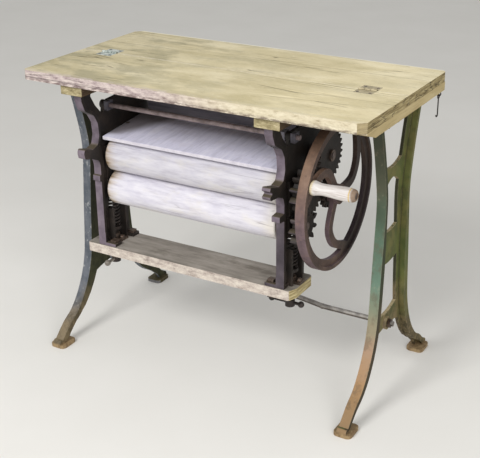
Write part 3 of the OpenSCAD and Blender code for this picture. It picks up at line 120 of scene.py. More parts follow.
class Shader:
    """Builds one material's nodes. Each method returns the output socket that it makes."""

    def __init__(self, name):
        self.material = bpy.data.materials.new(name)
        self.material.use_nodes = True
        self.tree = self.material.node_tree
        self.surface = self.tree.nodes["Principled BSDF"]
        self.place = self.tree.nodes.new("ShaderNodeTexCoord").outputs["Object"]
        self.facing = self.place.node.outputs["Normal"]

    def set_input(self, socket, value):
        if isinstance(value, bpy.types.NodeSocket):
            self.tree.links.new(value, socket)
        else:
            socket.default_value = value

    def node(self, kind, inputs=(), **settings):
        made = self.tree.nodes.new(kind)
        for key, value in settings.items():
            setattr(made, key, value)
        for key, value in dict(inputs).items():
            self.set_input(made.inputs[key], value)
        return made

    def stretched(self, scale, shift=(0, 0, 0)):
        """The place on the piece, in metres, multiplied by scale along each axis."""
        made = self.node("ShaderNodeMapping", {
            "Vector": self.place, "Scale": scale, "Location": shift,
        })
        return made.outputs["Vector"]

    def noise(self, scale, detail=3, rough=0.5, distortion=0, shift=(0, 0, 0)):
        made = self.node("ShaderNodeTexNoise", {
            "Vector": self.stretched(scale, shift), "Scale": 1, "Detail": detail,
            "Roughness": rough, "Distortion": distortion,
        })
        return made.outputs["Fac"]

    def cracks(self, scale, width):
        """1 inside long thin cracks, 0 between them."""
        made = self.node("ShaderNodeTexVoronoi", {
            "Vector": self.stretched(scale), "Scale": 1,
        }, feature="DISTANCE_TO_EDGE")
        return self.rise(made.outputs["Distance"], width, 0)

    def dots(self, scale, radius):
        """1 inside scattered dots, 0 between them."""
        made = self.node("ShaderNodeTexVoronoi", {
            "Vector": self.stretched((scale, scale, scale)), "Scale": 1,
        })
        return self.rise(made.outputs["Distance"], radius, radius * DOT_CORE)

    def along(self, axis):
        """The place along an axis, in metres."""
        made = self.node("ShaderNodeSeparateXYZ", {"Vector": self.place})
        return made.outputs[axis]

    def distance(self, axis, place):
        """How far a point is from a place along an axis."""
        return self.maths("ABSOLUTE", self.minus(self.along(axis), place))

    def off_middle(self, axis):
        """How far a point is from the middle of the table along an axis."""
        return self.maths("ABSOLUTE", self.along(axis))

    def towards(self, axis):
        """How far a face is turned to an axis, from -1 to 1."""
        made = self.node("ShaderNodeSeparateXYZ", {"Vector": self.facing})
        return made.outputs[axis]

    def both_faces(self, axis, low, high):
        """1 on the faces that are turned either way along an axis."""
        return self.rise(self.maths("ABSOLUTE", self.towards(axis)), low, high)

    def underside(self):
        """1 on the faces that look down."""
        return self.rise(self.towards("Z"), -0.4, -0.8)

    def maths(self, operation, a, b=0.0):
        made = self.node("ShaderNodeMath", {0: a, 1: b}, operation=operation)
        return made.outputs[0]

    def plus(self, a, b):
        return self.maths("ADD", a, b)

    def minus(self, a, b):
        return self.maths("SUBTRACT", a, b)

    def inverse(self, share):
        return self.minus(1, share)

    def times(self, *values):
        result = values[0]
        for value in values[1:]:
            result = self.maths("MULTIPLY", result, value)
        return result

    def rise(self, value, low, high):
        """0 where value is at low, 1 where it is at high, and smooth between them."""
        made = self.node("ShaderNodeMapRange", {
            "Value": value, "From Min": low, "From Max": high, "To Min": 0, "To Max": 1,
        }, interpolation_type="SMOOTHSTEP")
        return made.outputs["Result"]

    def mix(self, share, a, b):
        """Colour a where share is 0, colour b where it is 1."""
        made = self.node("ShaderNodeMix", {
            MIX_SHARE: share, MIX_A: a, MIX_B: b,
        }, data_type="RGBA")
        return made.outputs[MIX_RESULT]

    def tinted(self, colour, where, share, tint):
        """The colour with a share of the tint where the mask is 1."""
        return self.mix(self.times(where, share), colour, tint)

    def scaled(self, colour, factor):
        """The colour, darker or lighter by a factor."""
        made = self.node("ShaderNodeVectorMath", {0: colour, "Scale": factor}, operation="SCALE")
        return made.outputs["Vector"]

    def darkened(self, colour, where, share):
        """The colour, darker by a share of itself where the mask is 1."""
        return self.scaled(colour, self.inverse(self.times(where, share)))

    def blend_stops(self, value, stops):
        """A colour by value: stops are (position, colour)."""
        made = self.node("ShaderNodeValToRGB", {"Fac": value})
        ramp = made.color_ramp
        while len(ramp.elements) < len(stops):
            ramp.elements.new(0.5)
        for element, (position, colour) in zip(ramp.elements, stops):
            element.position = position
            element.color = colour
        return made.outputs["Color"]

    def edges(self, radius):
        """1 on worn outer and inner edges, 0 on open faces."""
        rounded = self.node("ShaderNodeBevel", {"Radius": radius}, samples=4)
        straight = self.tree.nodes.new("ShaderNodeNewGeometry").outputs["Normal"]
        made = self.node("ShaderNodeVectorMath", {
            0: rounded.outputs["Normal"], 1: straight,
        }, operation="DOT_PRODUCT")
        return self.rise(self.inverse(made.outputs["Value"]), *EDGE_BEND)

    def finish(self, colour, rough, height=None, depth=0.001, metal=0.0, specular=0.5):
        self.set_input(self.surface.inputs["Base Color"], colour)
        self.set_input(self.surface.inputs["Roughness"], rough)
        self.set_input(self.surface.inputs["Metallic"], metal)
        self.surface.inputs["Specular IOR Level"].default_value = specular
        if height is not None:
            bump = self.node("ShaderNodeBump", {
                "Height": height, "Distance": depth, "Strength": 1,
            })
            self.set_input(self.surface.inputs["Normal"], bump.outputs["Normal"])
        return self.material


# Woods

FRONT_EDGE = -0.251
REAR_EDGE = 0.226
SEAM = -0.014
EDGE_FOOT = 0.740


def bare_front_edge(s, colour):
    """Front edge, worn bare: pinkish grey and dark mottled at the left, cream at the right."""
    mottle = s.noise((34, 100, 100), detail=6, rough=0.75)
    near_front = s.rise(s.along("Y"), FRONT_EDGE + 0.024, FRONT_EDGE + 0.003)
    worn = s.times(near_front, s.rise(mottle, 0.40, 0.62), 0.8)
    front = s.rise(s.towards("Y"), -0.45, -0.8)
    pinkish = s.blend_stops(mottle, [
        (0.30, srgb(112, 94, 96)), (0.44, srgb(168, 152, 150)),
        (0.56, srgb(196, 182, 176)), (0.72, srgb(214, 203, 193)),
    ])
    creamy = s.blend_stops(mottle, [
        (0.30, srgb(150, 136, 108)), (0.46, srgb(198, 187, 160)), (0.66, srgb(218, 209, 184)),
    ])
    right = s.rise(s.along("X"), -0.12, 0.20)
    bare = s.mix(right, pinkish, creamy)
    foot = s.rise(s.along("Z"), EDGE_FOOT + 0.008, EDGE_FOOT)
    bare = s.tinted(bare, s.times(foot, s.rise(mottle, 0.62, 0.42)), 0.75, srgb(104, 88, 84))
    return s.mix(s.maths("MAXIMUM", worn, front), colour, bare)


def end_grain(s, colour):
    """Darker ends with open year rings, dark splits and nail holes. Returns the splits too."""
    rings = s.noise((40, 16, 240), detail=4, distortion=1.2)
    end = s.both_faces("X", 0.5, 0.8)
    grain = s.blend_stops(rings, [
        (0.32, srgb(104, 90, 60)), (0.5, srgb(152, 136, 96)), (0.66, srgb(186, 171, 128)),
    ])
    split = s.times(s.cracks((1, 26, 110), 0.05), s.rise(s.noise((1, 30, 30)), 0.48, 0.58))
    grain = s.tinted(grain, split, 0.8, srgb(58, 46, 32))
    grain = s.mix(s.dots(42, 0.12), grain, srgb(48, 38, 28))
    colour = s.mix(end, colour, grain)
    corner = s.times(s.rise(s.towards("X"), 0.45, 0.62), s.rise(s.towards("Y"), -0.45, -0.62))
    colour = s.tinted(colour, corner, 0.55, srgb(158, 142, 108))
    return colour, split


def table_wood():
    s = Shader("table_wood")
    broad = s.noise((5, 14, 14), detail=4, distortion=0.4)
    fleck = s.noise((70, 150, 150), detail=6, rough=0.8)
    dash = s.noise((30, 250, 250), detail=5, rough=0.7)
    fibre = s.noise((12, 480, 480), detail=4, rough=0.65)
    smudge = s.noise((8, 15, 15), detail=5, rough=0.65, shift=(1, 4, 0))
    colour = s.blend_stops(broad, [
        (0.32, srgb(192, 180, 142)), (0.5, srgb(209, 197, 161)), (0.68, srgb(220, 209, 176)),
    ])
    colour = s.tinted(colour, s.rise(fleck, 0.54, 0.70), 0.42, srgb(160, 146, 114))
    colour = s.tinted(colour, s.rise(fleck, 0.46, 0.30), 0.45, srgb(234, 225, 200))
    colour = s.tinted(colour, s.rise(fibre, 0.52, 0.76), 0.28, srgb(164, 150, 116))
    marks = s.times(s.rise(dash, 0.58, 0.72), s.rise(smudge, 0.40, 0.62))
    colour = s.tinted(colour, marks, 0.65, srgb(122, 108, 82))
    # Grey and olive weathering, stronger towards the left end
    left = s.rise(s.along("X"), 0.15, -0.35)
    grey = s.times(s.rise(smudge, 0.44, 0.64), s.plus(0.22, s.times(left, 0.45)))
    colour = s.mix(grey, colour, srgb(156, 150, 122))
    crack = s.times(s.cracks((3, 40, 40), 0.03), s.rise(s.noise((7, 26, 26)), 0.56, 0.64))
    colour = s.tinted(colour, crack, 0.7, srgb(94, 82, 60))
    # Lighter towards the right end
    tone = s.plus(0.92, s.times(s.rise(s.along("X"), -0.40, -0.05), 0.14))
    tone = s.plus(tone, s.times(s.rise(s.along("X"), 0.05, 0.30), 0.11))
    colour = s.scaled(colour, tone)
    # Painted highlights: pale lines at the seam and along the rear edge, where these edges catch
    # the light
    seam_highlight = s.times(s.rise(s.distance("Y", SEAM), 0.004, 0.0015), s.rise(fleck, 0.62, 0.40))
    colour = s.tinted(colour, seam_highlight, 0.6, srgb(234, 226, 202))
    # Painted highlight along the rear edge of the top
    rear = s.rise(s.along("Y"), REAR_EDGE - 0.007, REAR_EDGE - 0.003)
    colour = s.tinted(colour, rear, 0.7, srgb(238, 233, 212))
    colour = bare_front_edge(s, colour)
    colour, split = end_grain(s, colour)
    # Underside, brown and unbleached
    colour = s.mix(s.underside(), colour, srgb(92, 78, 62))
    height = s.plus(s.times(fibre, 0.35), s.times(dash, 0.65))
    height = s.minus(height, s.times(s.plus(crack, split), 1.6))
    return s.finish(colour, 0.82, height, 0.0010, specular=0.25)


def batten_wood():
    s = Shader("batten_wood")
    broad = s.noise((14, 2, 14), detail=4, distortion=0.6)
    fibre = s.noise((420, 12, 420), detail=4, rough=0.65)
    colour = s.blend_stops(broad, [
        (0.3, srgb(150, 132, 92)), (0.5, srgb(186, 168, 124)), (0.7, srgb(206, 190, 148)),
    ])
    colour = s.tinted(colour, s.rise(fibre, 0.45, 0.75), 0.4, srgb(118, 100, 66))
    end = s.both_faces("Y", 0.5, 0.8)
    mottle = s.noise((60, 60, 120), detail=5, rough=0.7)
    colour = s.mix(end, colour, s.blend_stops(mottle, [
        (0.34, srgb(116, 100, 78)), (0.5, srgb(180, 166, 138)), (0.66, srgb(208, 196, 172)),
    ]))
    return s.finish(colour, 0.85, fibre, 0.0006, specular=0.25)


def cleat_wood():
    """Pale on the sawn front ends only, and dark brown everywhere else."""
    s = Shader("cleat_wood")
    fibre = s.noise((420, 12, 420), detail=4, rough=0.65)
    mottle = s.noise((50, 50, 110), detail=6, rough=0.75)
    colour = s.blend_stops(fibre, [
        (0.3, srgb(58, 46, 36)), (0.5, srgb(84, 68, 52)), (0.7, srgb(110, 92, 70)),
    ])
    front = s.rise(s.towards("Y"), -0.5, -0.8)
    colour = s.mix(front, colour, s.blend_stops(mottle, [
        (0.30, srgb(88, 76, 54)), (0.48, srgb(150, 138, 104)), (0.66, srgb(190, 178, 144)),
    ]))
    return s.finish(colour, 0.85, fibre, 0.0006, specular=0.2)


ROLLER_LEFT = -0.291
ROLLER_RIGHT = 0.194
BETWEEN_ROLLERS = 0.490


def roller_wood():
    s = Shader("roller_wood")
    streak = s.noise((14, 90, 90), detail=5, rough=0.65)
    fibre = s.noise((36, 460, 460), detail=3, rough=0.6)
    cloud = s.noise((12, 26, 26), detail=4, rough=0.6)
    colour = s.blend_stops(streak, [
        (0.30, srgb(188, 184, 194)), (0.48, srgb(208, 205, 213)), (0.68, srgb(221, 218, 223)),
    ])
    colour = s.tinted(colour, s.rise(cloud, 0.5, 0.68), 0.40, srgb(216, 210, 198))
    colour = s.tinted(colour, s.rise(cloud, 0.46, 0.32), 0.35, srgb(190, 187, 202))
    colour = s.tinted(colour, s.rise(fibre, 0.55, 0.8), 0.30, srgb(164, 158, 168))
    # The upper roller is a little darker
    upper = s.rise(s.along("Z"), BETWEEN_ROLLERS - 0.005, BETWEEN_ROLLERS + 0.005)
    colour = s.darkened(colour, upper, 0.14)
    # Water stain at the left ends, and a faint one at the right
    reach = s.plus(s.along("X"), s.times(s.noise((9, 70, 70), detail=4), 0.09))
    stain = s.rise(reach, ROLLER_LEFT + 0.085, ROLLER_LEFT + 0.030)
    colour = s.tinted(colour, stain, 0.8, srgb(168, 144, 100))
    deep = s.rise(reach, ROLLER_LEFT + 0.058, ROLLER_LEFT + 0.034)
    colour = s.tinted(colour, deep, 0.75, srgb(94, 72, 46))
    right = s.rise(s.along("X"), ROLLER_RIGHT - 0.05, ROLLER_RIGHT)
    colour = s.tinted(colour, right, 0.35, srgb(216, 205, 176))
    end = s.both_faces("X", 0.75, 0.95)
    colour = s.tinted(colour, end, 0.6, srgb(96, 80, 62))
    crack = s.times(s.cracks((3, 60, 60), 0.02), s.rise(s.noise((6, 40, 40)), 0.56, 0.66))
    colour = s.tinted(colour, crack, 0.5, srgb(128, 118, 124))
    height = s.minus(s.times(streak, 0.6), crack)
    return s.finish(colour, 0.82, height, 0.0006, specular=0.15)


def drip_wood():
    """Grey wood with its grain down the slope, stained at the left."""
    s = Shader("drip_board_wood")
    streak = s.noise((70, 8, 60), detail=5, rough=0.65)
    fibre = s.noise((420, 18, 420), detail=4)
    cloud = s.noise((14, 22, 22), detail=4, rough=0.6)
    colour = s.blend_stops(streak, [
        (0.32, srgb(212, 210, 228)), (0.5, srgb(228, 226, 246)), (0.68, srgb(238, 236, 252)),
    ])
    colour = s.tinted(colour, s.rise(fibre, 0.5, 0.8), 0.2, srgb(164, 160, 182))
    colour = s.tinted(colour, s.rise(cloud, 0.52, 0.68), 0.25, srgb(208, 200, 212))
    line = s.rise(s.noise((150, 12, 150), detail=5, rough=0.7), 0.56, 0.68)
    colour = s.tinted(colour, line, 0.2, srgb(148, 142, 158))
    # Brown stain at the left, behind the front edge
    reach = s.minus(s.along("X"), s.times(s.along("Y"), 0.55))
    stain = s.times(s.rise(reach, -0.17, -0.225), s.rise(s.along("Y"), -0.145, -0.115))
    colour = s.tinted(colour, stain, 0.75, srgb(98, 86, 78))
    front = s.rise(s.towards("Y"), -0.4, -0.8)
    colour = s.mix(front, colour, s.blend_stops(streak, [
        (0.3, srgb(190, 186, 196)), (0.7, srgb(212, 208, 214)),
    ]))
    colour = s.darkened(colour, s.underside(), 0.4)
    return s.finish(colour, 0.8, fibre, 0.0005, specular=0.2)


def back_wood():
    s = Shader("back_board_wood")
    streak = s.noise((7, 60, 60), detail=5, rough=0.65)
    fibre = s.noise((20, 500, 500), detail=4)
    colour = s.blend_stops(streak, [
        (0.32, srgb(110, 106, 114)), (0.5, srgb(140, 135, 143)), (0.68, srgb(160, 154, 160)),
    ])
    colour = s.tinted(colour, s.rise(fibre, 0.5, 0.8), 0.3, srgb(66, 60, 66))
    return s.finish(colour, 0.8, fibre, 0.0005, specular=0.2)


def shelf_wood():
    s = Shader("shelf_wood")
    streak = s.noise((9, 46, 46), detail=5, rough=0.65)
    fibre = s.noise((24, 460, 460), detail=4)
    blotch = s.noise((9, 17, 17), detail=5, rough=0.65)
    mottle = s.noise((40, 90, 90), detail=6, rough=0.78)
    colour = s.blend_stops(streak, [
        (0.32, srgb(118, 112, 104)), (0.5, srgb(144, 137, 128)), (0.68, srgb(162, 155, 146)),
    ])
    colour = s.tinted(colour, s.rise(blotch, 0.50, 0.66), 0.55, srgb(98, 91, 81))
    colour = s.tinted(colour, s.rise(fibre, 0.5, 0.8), 0.32, srgb(98, 90, 80))
    front = s.rise(s.towards("Y"), -0.35, -0.7)
    colour = s.mix(front, colour, s.blend_stops(mottle, [
        (0.30, srgb(120, 106, 100)), (0.46, srgb(184, 172, 162)), (0.64, srgb(214, 205, 192)),
    ]))
    end = s.rise(s.towards("X"), 0.6, 0.9)
    rings = s.noise((40, 20, 200), detail=3, distortion=1)
    colour = s.mix(end, colour, s.blend_stops(rings, [
        (0.35, srgb(148, 132, 92)), (0.65, srgb(204, 190, 146)),
    ]))
    colour = s.mix(s.underside(), colour, srgb(104, 90, 76))
    return s.finish(colour, 0.85, s.plus(fibre, streak), 0.0008, specular=0.2)


GRIP_FOOT = 0.297
GRIP_TIP = 0.391


def grip_wood():
    s = Shader("grip_wood")
    fibre = s.noise((14, 300, 300), detail=4, rough=0.6)
    cloud = s.noise((60, 60, 60), detail=4, rough=0.6)
    colour = s.blend_stops(fibre, [
        (0.3, srgb(178, 168, 160)), (0.5, srgb(208, 202, 198)), (0.7, srgb(222, 218, 214)),
    ])
    foot = s.rise(s.along("X"), GRIP_FOOT + 0.009, GRIP_FOOT + 0.002)
    colour = s.tinted(colour, foot, 0.75, srgb(206, 188, 142))
    ring = s.rise(s.distance("X", GRIP_TIP), 0.0022, 0.0008)
    colour = s.tinted(colour, ring, 0.8, srgb(198, 166, 92))
    reach = s.plus(s.along("X"), s.times(cloud, 0.012))
    tip = s.rise(reach, GRIP_TIP + 0.006, GRIP_TIP + 0.013)
    colour = s.tinted(colour, tip, 0.85, srgb(116, 88, 58))
    return s.finish(colour, 0.6, fibre, 0.0003, specular=0.3)


# Metals

SIDE_FRAME_FRONT = -0.150


def dark_iron(name="dark_iron", bright=1.0):
    """Old cast iron, dark brown, with worn mauve-grey faces to the front, lightened further by
    painted light from the front.
    """
    s = Shader(name)
    cloud = s.noise((22, 22, 22), detail=5, rough=0.6)
    pits = s.noise((260, 260, 260), detail=4, rough=0.7)
    colour = s.blend_stops(cloud, [
        (0.30, srgb(22, 18, 15)), (0.5, srgb(36, 30, 26)), (0.7, srgb(54, 45, 38)),
    ])
    # Painted light on the outer frame's front faces: worn mauve-grey metal, made lighter where the
    # front light falls on it
    outer = s.rise(s.along("Y"), SIDE_FRAME_FRONT, SIDE_FRAME_FRONT - 0.006)
    front = s.times(s.rise(s.towards("Y"), -0.35, -0.85), outer, bright)
    worn = s.blend_stops(cloud, [
        (0.34, srgb(84, 74, 82)), (0.5, srgb(112, 100, 112)), (0.66, srgb(134, 122, 132)),
    ])
    # The lower part of the right frame is darker
    low_right = s.times(s.rise(s.along("X"), 0, 0.05), s.rise(s.along("Z"), 0.48, 0.44))
    worn = s.darkened(worn, low_right, 0.62)
    colour = s.tinted(colour, front, 0.85, worn)
    top = s.times(s.rise(s.towards("Z"), 0.3, 0.8), outer)
    colour = s.tinted(colour, top, 0.5, srgb(104, 94, 74))
    wear = s.times(s.edges(0.0015), s.rise(cloud, 0.35, 0.6))
    colour = s.tinted(colour, wear, 0.45, srgb(124, 108, 102))
    colour = s.tinted(colour, s.rise(pits, 0.58, 0.72), 0.3, srgb(88, 60, 42))
    return s.finish(colour, 0.62, s.plus(s.times(cloud, 0.5), pits), 0.0006, specular=0.4)


# Places on the leg frames, in metres from the middle of the table or from the floor
LEG_INSIDE = 0.420
LEG_FLANGE = 0.424
WINDOW_SIDE = 0.10
LOW_WEB_TOP = 0.28
PAD_TOP = 0.016


def front_leg_colour(s, high, patch, flakes):
    """Bare and tan at the foot, turquoise halfway, brown-green on top."""
    painted = s.blend_stops(high, [
        (0.02, srgb(140, 114, 82)), (0.10, srgb(160, 126, 88)), (0.16, srgb(160, 132, 108)),
        (0.21, srgb(140, 132, 108)), (0.27, srgb(116, 126, 106)), (0.33, srgb(98, 122, 106)),
        (0.46, srgb(76, 96, 78)), (0.54, srgb(74, 76, 60)), (0.68, srgb(58, 62, 48)),
    ])
    painted = s.tinted(painted, s.rise(patch, 0.50, 0.64), 0.45, srgb(92, 80, 64))
    painted = s.tinted(painted, s.rise(flakes, 0.44, 0.30), 0.35, srgb(158, 150, 126))
    return painted


def side_and_web_colour(s, high, cloud, patch, flakes, front, rear):
    """Olive with fresh green, dark brown low down and in front."""
    olive = s.mix(s.rise(patch, 0.38, 0.62), srgb(76, 80, 44), srgb(104, 100, 56))
    olive = s.tinted(olive, s.rise(cloud, 0.50, 0.62), 0.4, srgb(88, 104, 54))
    cut = s.rise(s.off_middle("X"), LEG_INSIDE, LEG_INSIDE - 0.003)
    olive = s.mix(s.times(front, rear, cut), olive, srgb(48, 48, 30))
    flange = s.rise(s.off_middle("X"), LEG_FLANGE, LEG_FLANGE + 0.004)
    strip = s.times(flange, s.inverse(rear))
    strip_colour = s.mix(s.rise(high, 0.18, 0.34), srgb(60, 48, 32), srgb(44, 50, 32))
    olive = s.tinted(olive, strip, 0.9, strip_colour)
    # Bare and brown at the rear foot, and worn to tan round the lower web
    brown = s.mix(s.rise(flakes, 0.42, 0.60), srgb(62, 50, 32), srgb(124, 106, 76))
    olive = s.tinted(olive, s.times(rear, s.rise(high, 0.22, 0.12)), 0.8, brown)
    low_web = s.times(s.rise(s.off_middle("Y"), 0.085, 0.06),
                      s.rise(s.along("Z"), LOW_WEB_TOP, LOW_WEB_TOP - 0.04))
    olive = s.tinted(olive, s.times(low_web, s.rise(patch, 0.36, 0.56)), 0.6, srgb(132, 114, 84))
    return olive


def left_frame_colour(s, high, patch, flakes, front, rear):
    """Bluish grey face with white flecks, dark green-black inside."""
    face = s.mix(s.rise(patch, 0.36, 0.62), srgb(80, 86, 94), srgb(102, 106, 113))
    face = s.tinted(face, s.rise(flakes, 0.56, 0.66), 0.7, srgb(186, 186, 184))
    inside = s.mix(s.rise(patch, 0.36, 0.62), srgb(40, 42, 24), srgb(60, 60, 36))
    grey = s.mix(front, inside, face)
    foot = s.rise(high, 0.15, 0.05)
    tan = s.mix(s.rise(patch, 0.4, 0.6), srgb(92, 80, 58), srgb(128, 112, 84))
    return s.mix(s.times(foot, 0.9, s.inverse(rear)), grey, tan)


def leg_paint():
    """Old paint: turquoise and olive on the right frame, bluish grey on the left one."""
    s = Shader("leg_paint")
    cloud = s.noise((9, 9, 9), detail=5, rough=0.65)
    patch = s.noise((34, 34, 22), detail=5, rough=0.7)
    flakes = s.noise((90, 90, 60), detail=6, rough=0.75)
    pits = s.noise((260, 260, 260), detail=4, rough=0.7)
    high = s.plus(s.along("Z"), s.times(s.minus(cloud, 0.5), 0.16))
    right = s.rise(s.along("X"), -0.2, 0.2)
    rear = s.rise(s.along("Y"), -0.03, 0.03)
    front = s.rise(s.towards("Y"), -0.15, -0.45)
    painted = front_leg_colour(s, high, patch, flakes)
    olive = side_and_web_colour(s, high, cloud, patch, flakes, front, rear)
    green = s.mix(s.times(front, s.inverse(rear)), olive, painted)
    grey = left_frame_colour(s, high, patch, flakes, front, rear)
    colour = s.mix(right, grey, green)
    # Pale worn rims round the windows, and rusty pads
    inner = s.rise(s.off_middle("Y"), WINDOW_SIDE, WINDOW_SIDE - 0.03)
    rim = s.times(s.both_faces("Z", 0.45, 0.8), inner, right)
    colour = s.tinted(colour, s.times(rim, s.rise(flakes, 0.36, 0.54)), 0.8, srgb(172, 156, 122))
    wear = s.times(s.edges(0.002), s.rise(flakes, 0.35, 0.6))
    colour = s.tinted(colour, wear, 0.5, srgb(160, 150, 128))
    dark_pad = s.times(rear, s.inverse(right), 0.7)
    pad = s.times(s.rise(s.along("Z"), PAD_TOP, PAD_TOP - 0.008), s.minus(0.85, dark_pad))
    rust = s.mix(s.rise(flakes, 0.4, 0.6), srgb(126, 102, 72), srgb(162, 138, 102))
    colour = s.mix(pad, colour, rust)
    height = s.plus(s.times(flakes, 0.7), s.times(pits, 0.4))
    return s.finish(colour, 0.7, height, 0.0006, specular=0.3)


def wheel_iron():
    """Rust brown, lighter on the rim's outer band than on the sides."""
    s = Shader("wheel_iron")
    cloud = s.noise((16, 16, 16), detail=5, rough=0.65)
    spots = s.noise((90, 90, 90), detail=6, rough=0.75)
    pits = s.noise((240, 240, 240), detail=4, rough=0.7)
    side = s.both_faces("X", 0.4, 0.85)
    band = s.mix(s.rise(s.along("Z"), 0.45, 0.62), s.blend_stops(cloud, [
        (0.30, srgb(74, 60, 64)), (0.5, srgb(100, 82, 86)), (0.7, srgb(120, 102, 104)),
    ]), s.blend_stops(cloud, [
        (0.30, srgb(88, 69, 58)), (0.5, srgb(118, 93, 76)), (0.7, srgb(140, 113, 92)),
    ]))
    colour = s.mix(side, band, s.blend_stops(cloud, [
        (0.30, srgb(56, 44, 40)), (0.5, srgb(84, 67, 60)), (0.7, srgb(106, 86, 74)),
    ]))
    colour = s.tinted(colour, s.rise(spots, 0.55, 0.68), 0.45, srgb(134, 104, 84))
    colour = s.tinted(colour, s.rise(spots, 0.44, 0.32), 0.5, srgb(58, 47, 44))
    wear = s.times(s.edges(0.002), s.rise(cloud, 0.3, 0.55))
    colour = s.tinted(colour, wear, 0.6, srgb(150, 130, 112))
    # Painted shade: the far half is darker, as in the shadow beneath the table
    far_half_shade = s.rise(s.along("Y"), -0.03, 0.05)
    colour = s.darkened(colour, far_half_shade, 0.7)
    return s.finish(colour, 0.62, s.plus(s.times(cloud, 0.4), pits), 0.0006, specular=0.35)


def old_steel(name, dark, light, rust, metal=0.5, rough=0.5):
    s = Shader(name)
    cloud = s.noise((40, 40, 40), detail=5, rough=0.65)
    pits = s.noise((300, 300, 300), detail=4, rough=0.7)
    colour = s.mix(s.rise(cloud, 0.34, 0.64), dark, light)
    colour = s.tinted(colour, s.rise(pits, 0.5, 0.68), 0.6, rust)
    return s.finish(colour, rough, pits, 0.0004, metal=metal)


def stretcher_steel():
    """Painted light and shade: light grey on top, darker below."""
    s = Shader("stretcher_steel")
    cloud = s.noise((60, 60, 60), detail=5, rough=0.65)
    pits = s.noise((300, 300, 300), detail=4, rough=0.7)
    # Painted light on the upper faces, painted shade on the lower ones
    upper = s.mix(s.rise(cloud, 0.34, 0.64), srgb(126, 122, 118), srgb(164, 160, 154))
    painted_shade_below = s.mix(s.rise(cloud, 0.34, 0.64), srgb(62, 55, 50), srgb(92, 84, 76))
    colour = s.mix(s.rise(s.towards("Z"), 0.35, -0.15), upper, painted_shade_below)
    colour = s.tinted(colour, s.rise(pits, 0.52, 0.68), 0.4, srgb(112, 88, 66))
    return s.finish(colour, 0.55, pits, 0.0004, metal=0.25)


def hinge_steel():
    s = Shader("hinge_steel")
    cloud = s.noise((90, 90, 90), detail=5, rough=0.7)
    left = s.rise(s.along("X"), 0.05, -0.05)
    dull = s.blend_stops(cloud, [
        (0.36, srgb(150, 138, 110)), (0.5, srgb(180, 168, 136)), (0.64, srgb(194, 182, 150)),
    ])
    bare = s.blend_stops(cloud, [
        (0.36, srgb(96, 108, 104)), (0.5, srgb(182, 190, 184)), (0.64, srgb(218, 220, 212)),
    ])
    colour = s.mix(left, dull, bare)
    wear = s.edges(0.0018)
    colour = s.tinted(colour, wear, 0.75, srgb(62, 56, 46))
    return s.finish(colour, 0.5, cloud, 0.0006, metal=0.2)


def plain_floor():
    s = Shader("floor")
    cloud = s.noise((3, 3, 3), detail=3)
    colour = s.mix(cloud, srgb(226, 224, 218), srgb(234, 232, 227))
    return s.finish(colour, 0.9, specular=0.2)


TABLE_WOOD = table_wood()
BATTEN_WOOD = batten_wood()
CLEAT_WOOD = cleat_wood()
ROLLER_WOOD = roller_wood()
DRIP_WOOD = drip_wood()
BACK_WOOD = back_wood()
SHELF_WOOD = shelf_wood()
GRIP_WOOD = grip_wood()
DARK_IRON = dark_iron()
# The gears take less of the mauve tone and painted light on their front faces
GEAR_IRON = dark_iron("gear_iron", bright=0.4)
LEG_PAINT = leg_paint()
WHEEL_IRON = wheel_iron()
ROD_STEEL = old_steel("rod_steel", srgb(74, 64, 60), srgb(120, 108, 104), srgb(110, 78, 56))
TIE_STEEL = old_steel("tie_steel", srgb(104, 92, 92), srgb(150, 134, 134), srgb(116, 92, 78), 0.2)
BAR_STEEL = old_steel("bar_steel", srgb(112, 106, 98), srgb(160, 154, 146), srgb(108, 86, 64), 0.2)
STRETCHER_STEEL = stretcher_steel()
SPRING_STEEL = old_steel("spring_steel", srgb(30, 26, 25), srgb(58, 50, 47), srgb(66, 50, 40), 0.3)
NUT_STEEL = old_steel("nut_steel", srgb(74, 72, 80), srgb(108, 106, 116), srgb(96, 78, 68), 0.3)
FASTENER_STEEL = old_steel(
    "fastener_steel", srgb(60, 50, 44), srgb(108, 94, 84), srgb(116, 80, 54))
HOOK_STEEL = old_steel("hook_steel", srgb(30, 27, 25), srgb(58, 50, 46), srgb(70, 50, 38))
HINGE_STEEL = hinge_steel()

MATERIALS = {
    TABLE_WOOD: ["rear_board", "front_board"],
    BATTEN_WOOD: ["left_bearer", "right_bearer"],
    CLEAT_WOOD: ["left_cleat", "right_cleat"],
    ROLLER_WOOD: ["driven_roller", "pressure_roller"],
    DRIP_WOOD: ["drip_board"],
    BACK_WOOD: ["drip_back_board"],
    SHELF_WOOD: ["cross_board"],
    GRIP_WOOD: ["handle_grip"],
    DARK_IRON: ["left_side_frame", "right_side_frame", "driven_bearing_blocks",
                "pressure_bearing_blocks"],
    GEAR_IRON: ["driven_cog", "driven_spur_gear", "pressure_cog", "idler_gear", "drive_pinion"],
    LEG_PAINT: ["left_leg_frame", "right_leg_frame"],
    WHEEL_IRON: ["handwheel"],
    STRETCHER_STEEL: ["stretcher_rod"],
    TIE_STEEL: ["tie_rod"],
    BAR_STEEL: ["left_screw_bar"],
    ROD_STEEL: ["driven_roller_shaft", "pressure_roller_shaft",
                "drive_shaft", "idler_stud", "handle_stud"],
    SPRING_STEEL: ["left_spring", "right_spring", "left_spring_seat", "right_spring_seat",
                   "left_pressure_screw", "right_pressure_screw", "right_screw_bar"],
    NUT_STEEL: ["tie_rod_nuts"],
    FASTENER_STEEL: ["bearer_screws", "leg_frame_screws", "stretcher_nuts", "hinge_pins",
                     "rear_hinge_screws", "front_hinge_screws", "cleat_screws",
                     "side_frame_bolts", "drip_board_screws",
                     "cross_board_bolts", "cross_board_nuts", "block_retaining_bolts",
                     "pressure_screw_nuts", "nut_flange_bolts", "idler_collar", "handwheel_nut"],
    HOOK_STEEL: ["latch_eye", "latch_hook"],
    HINGE_STEEL: ["rear_hinge_leaves", "front_hinge_leaves"],
}

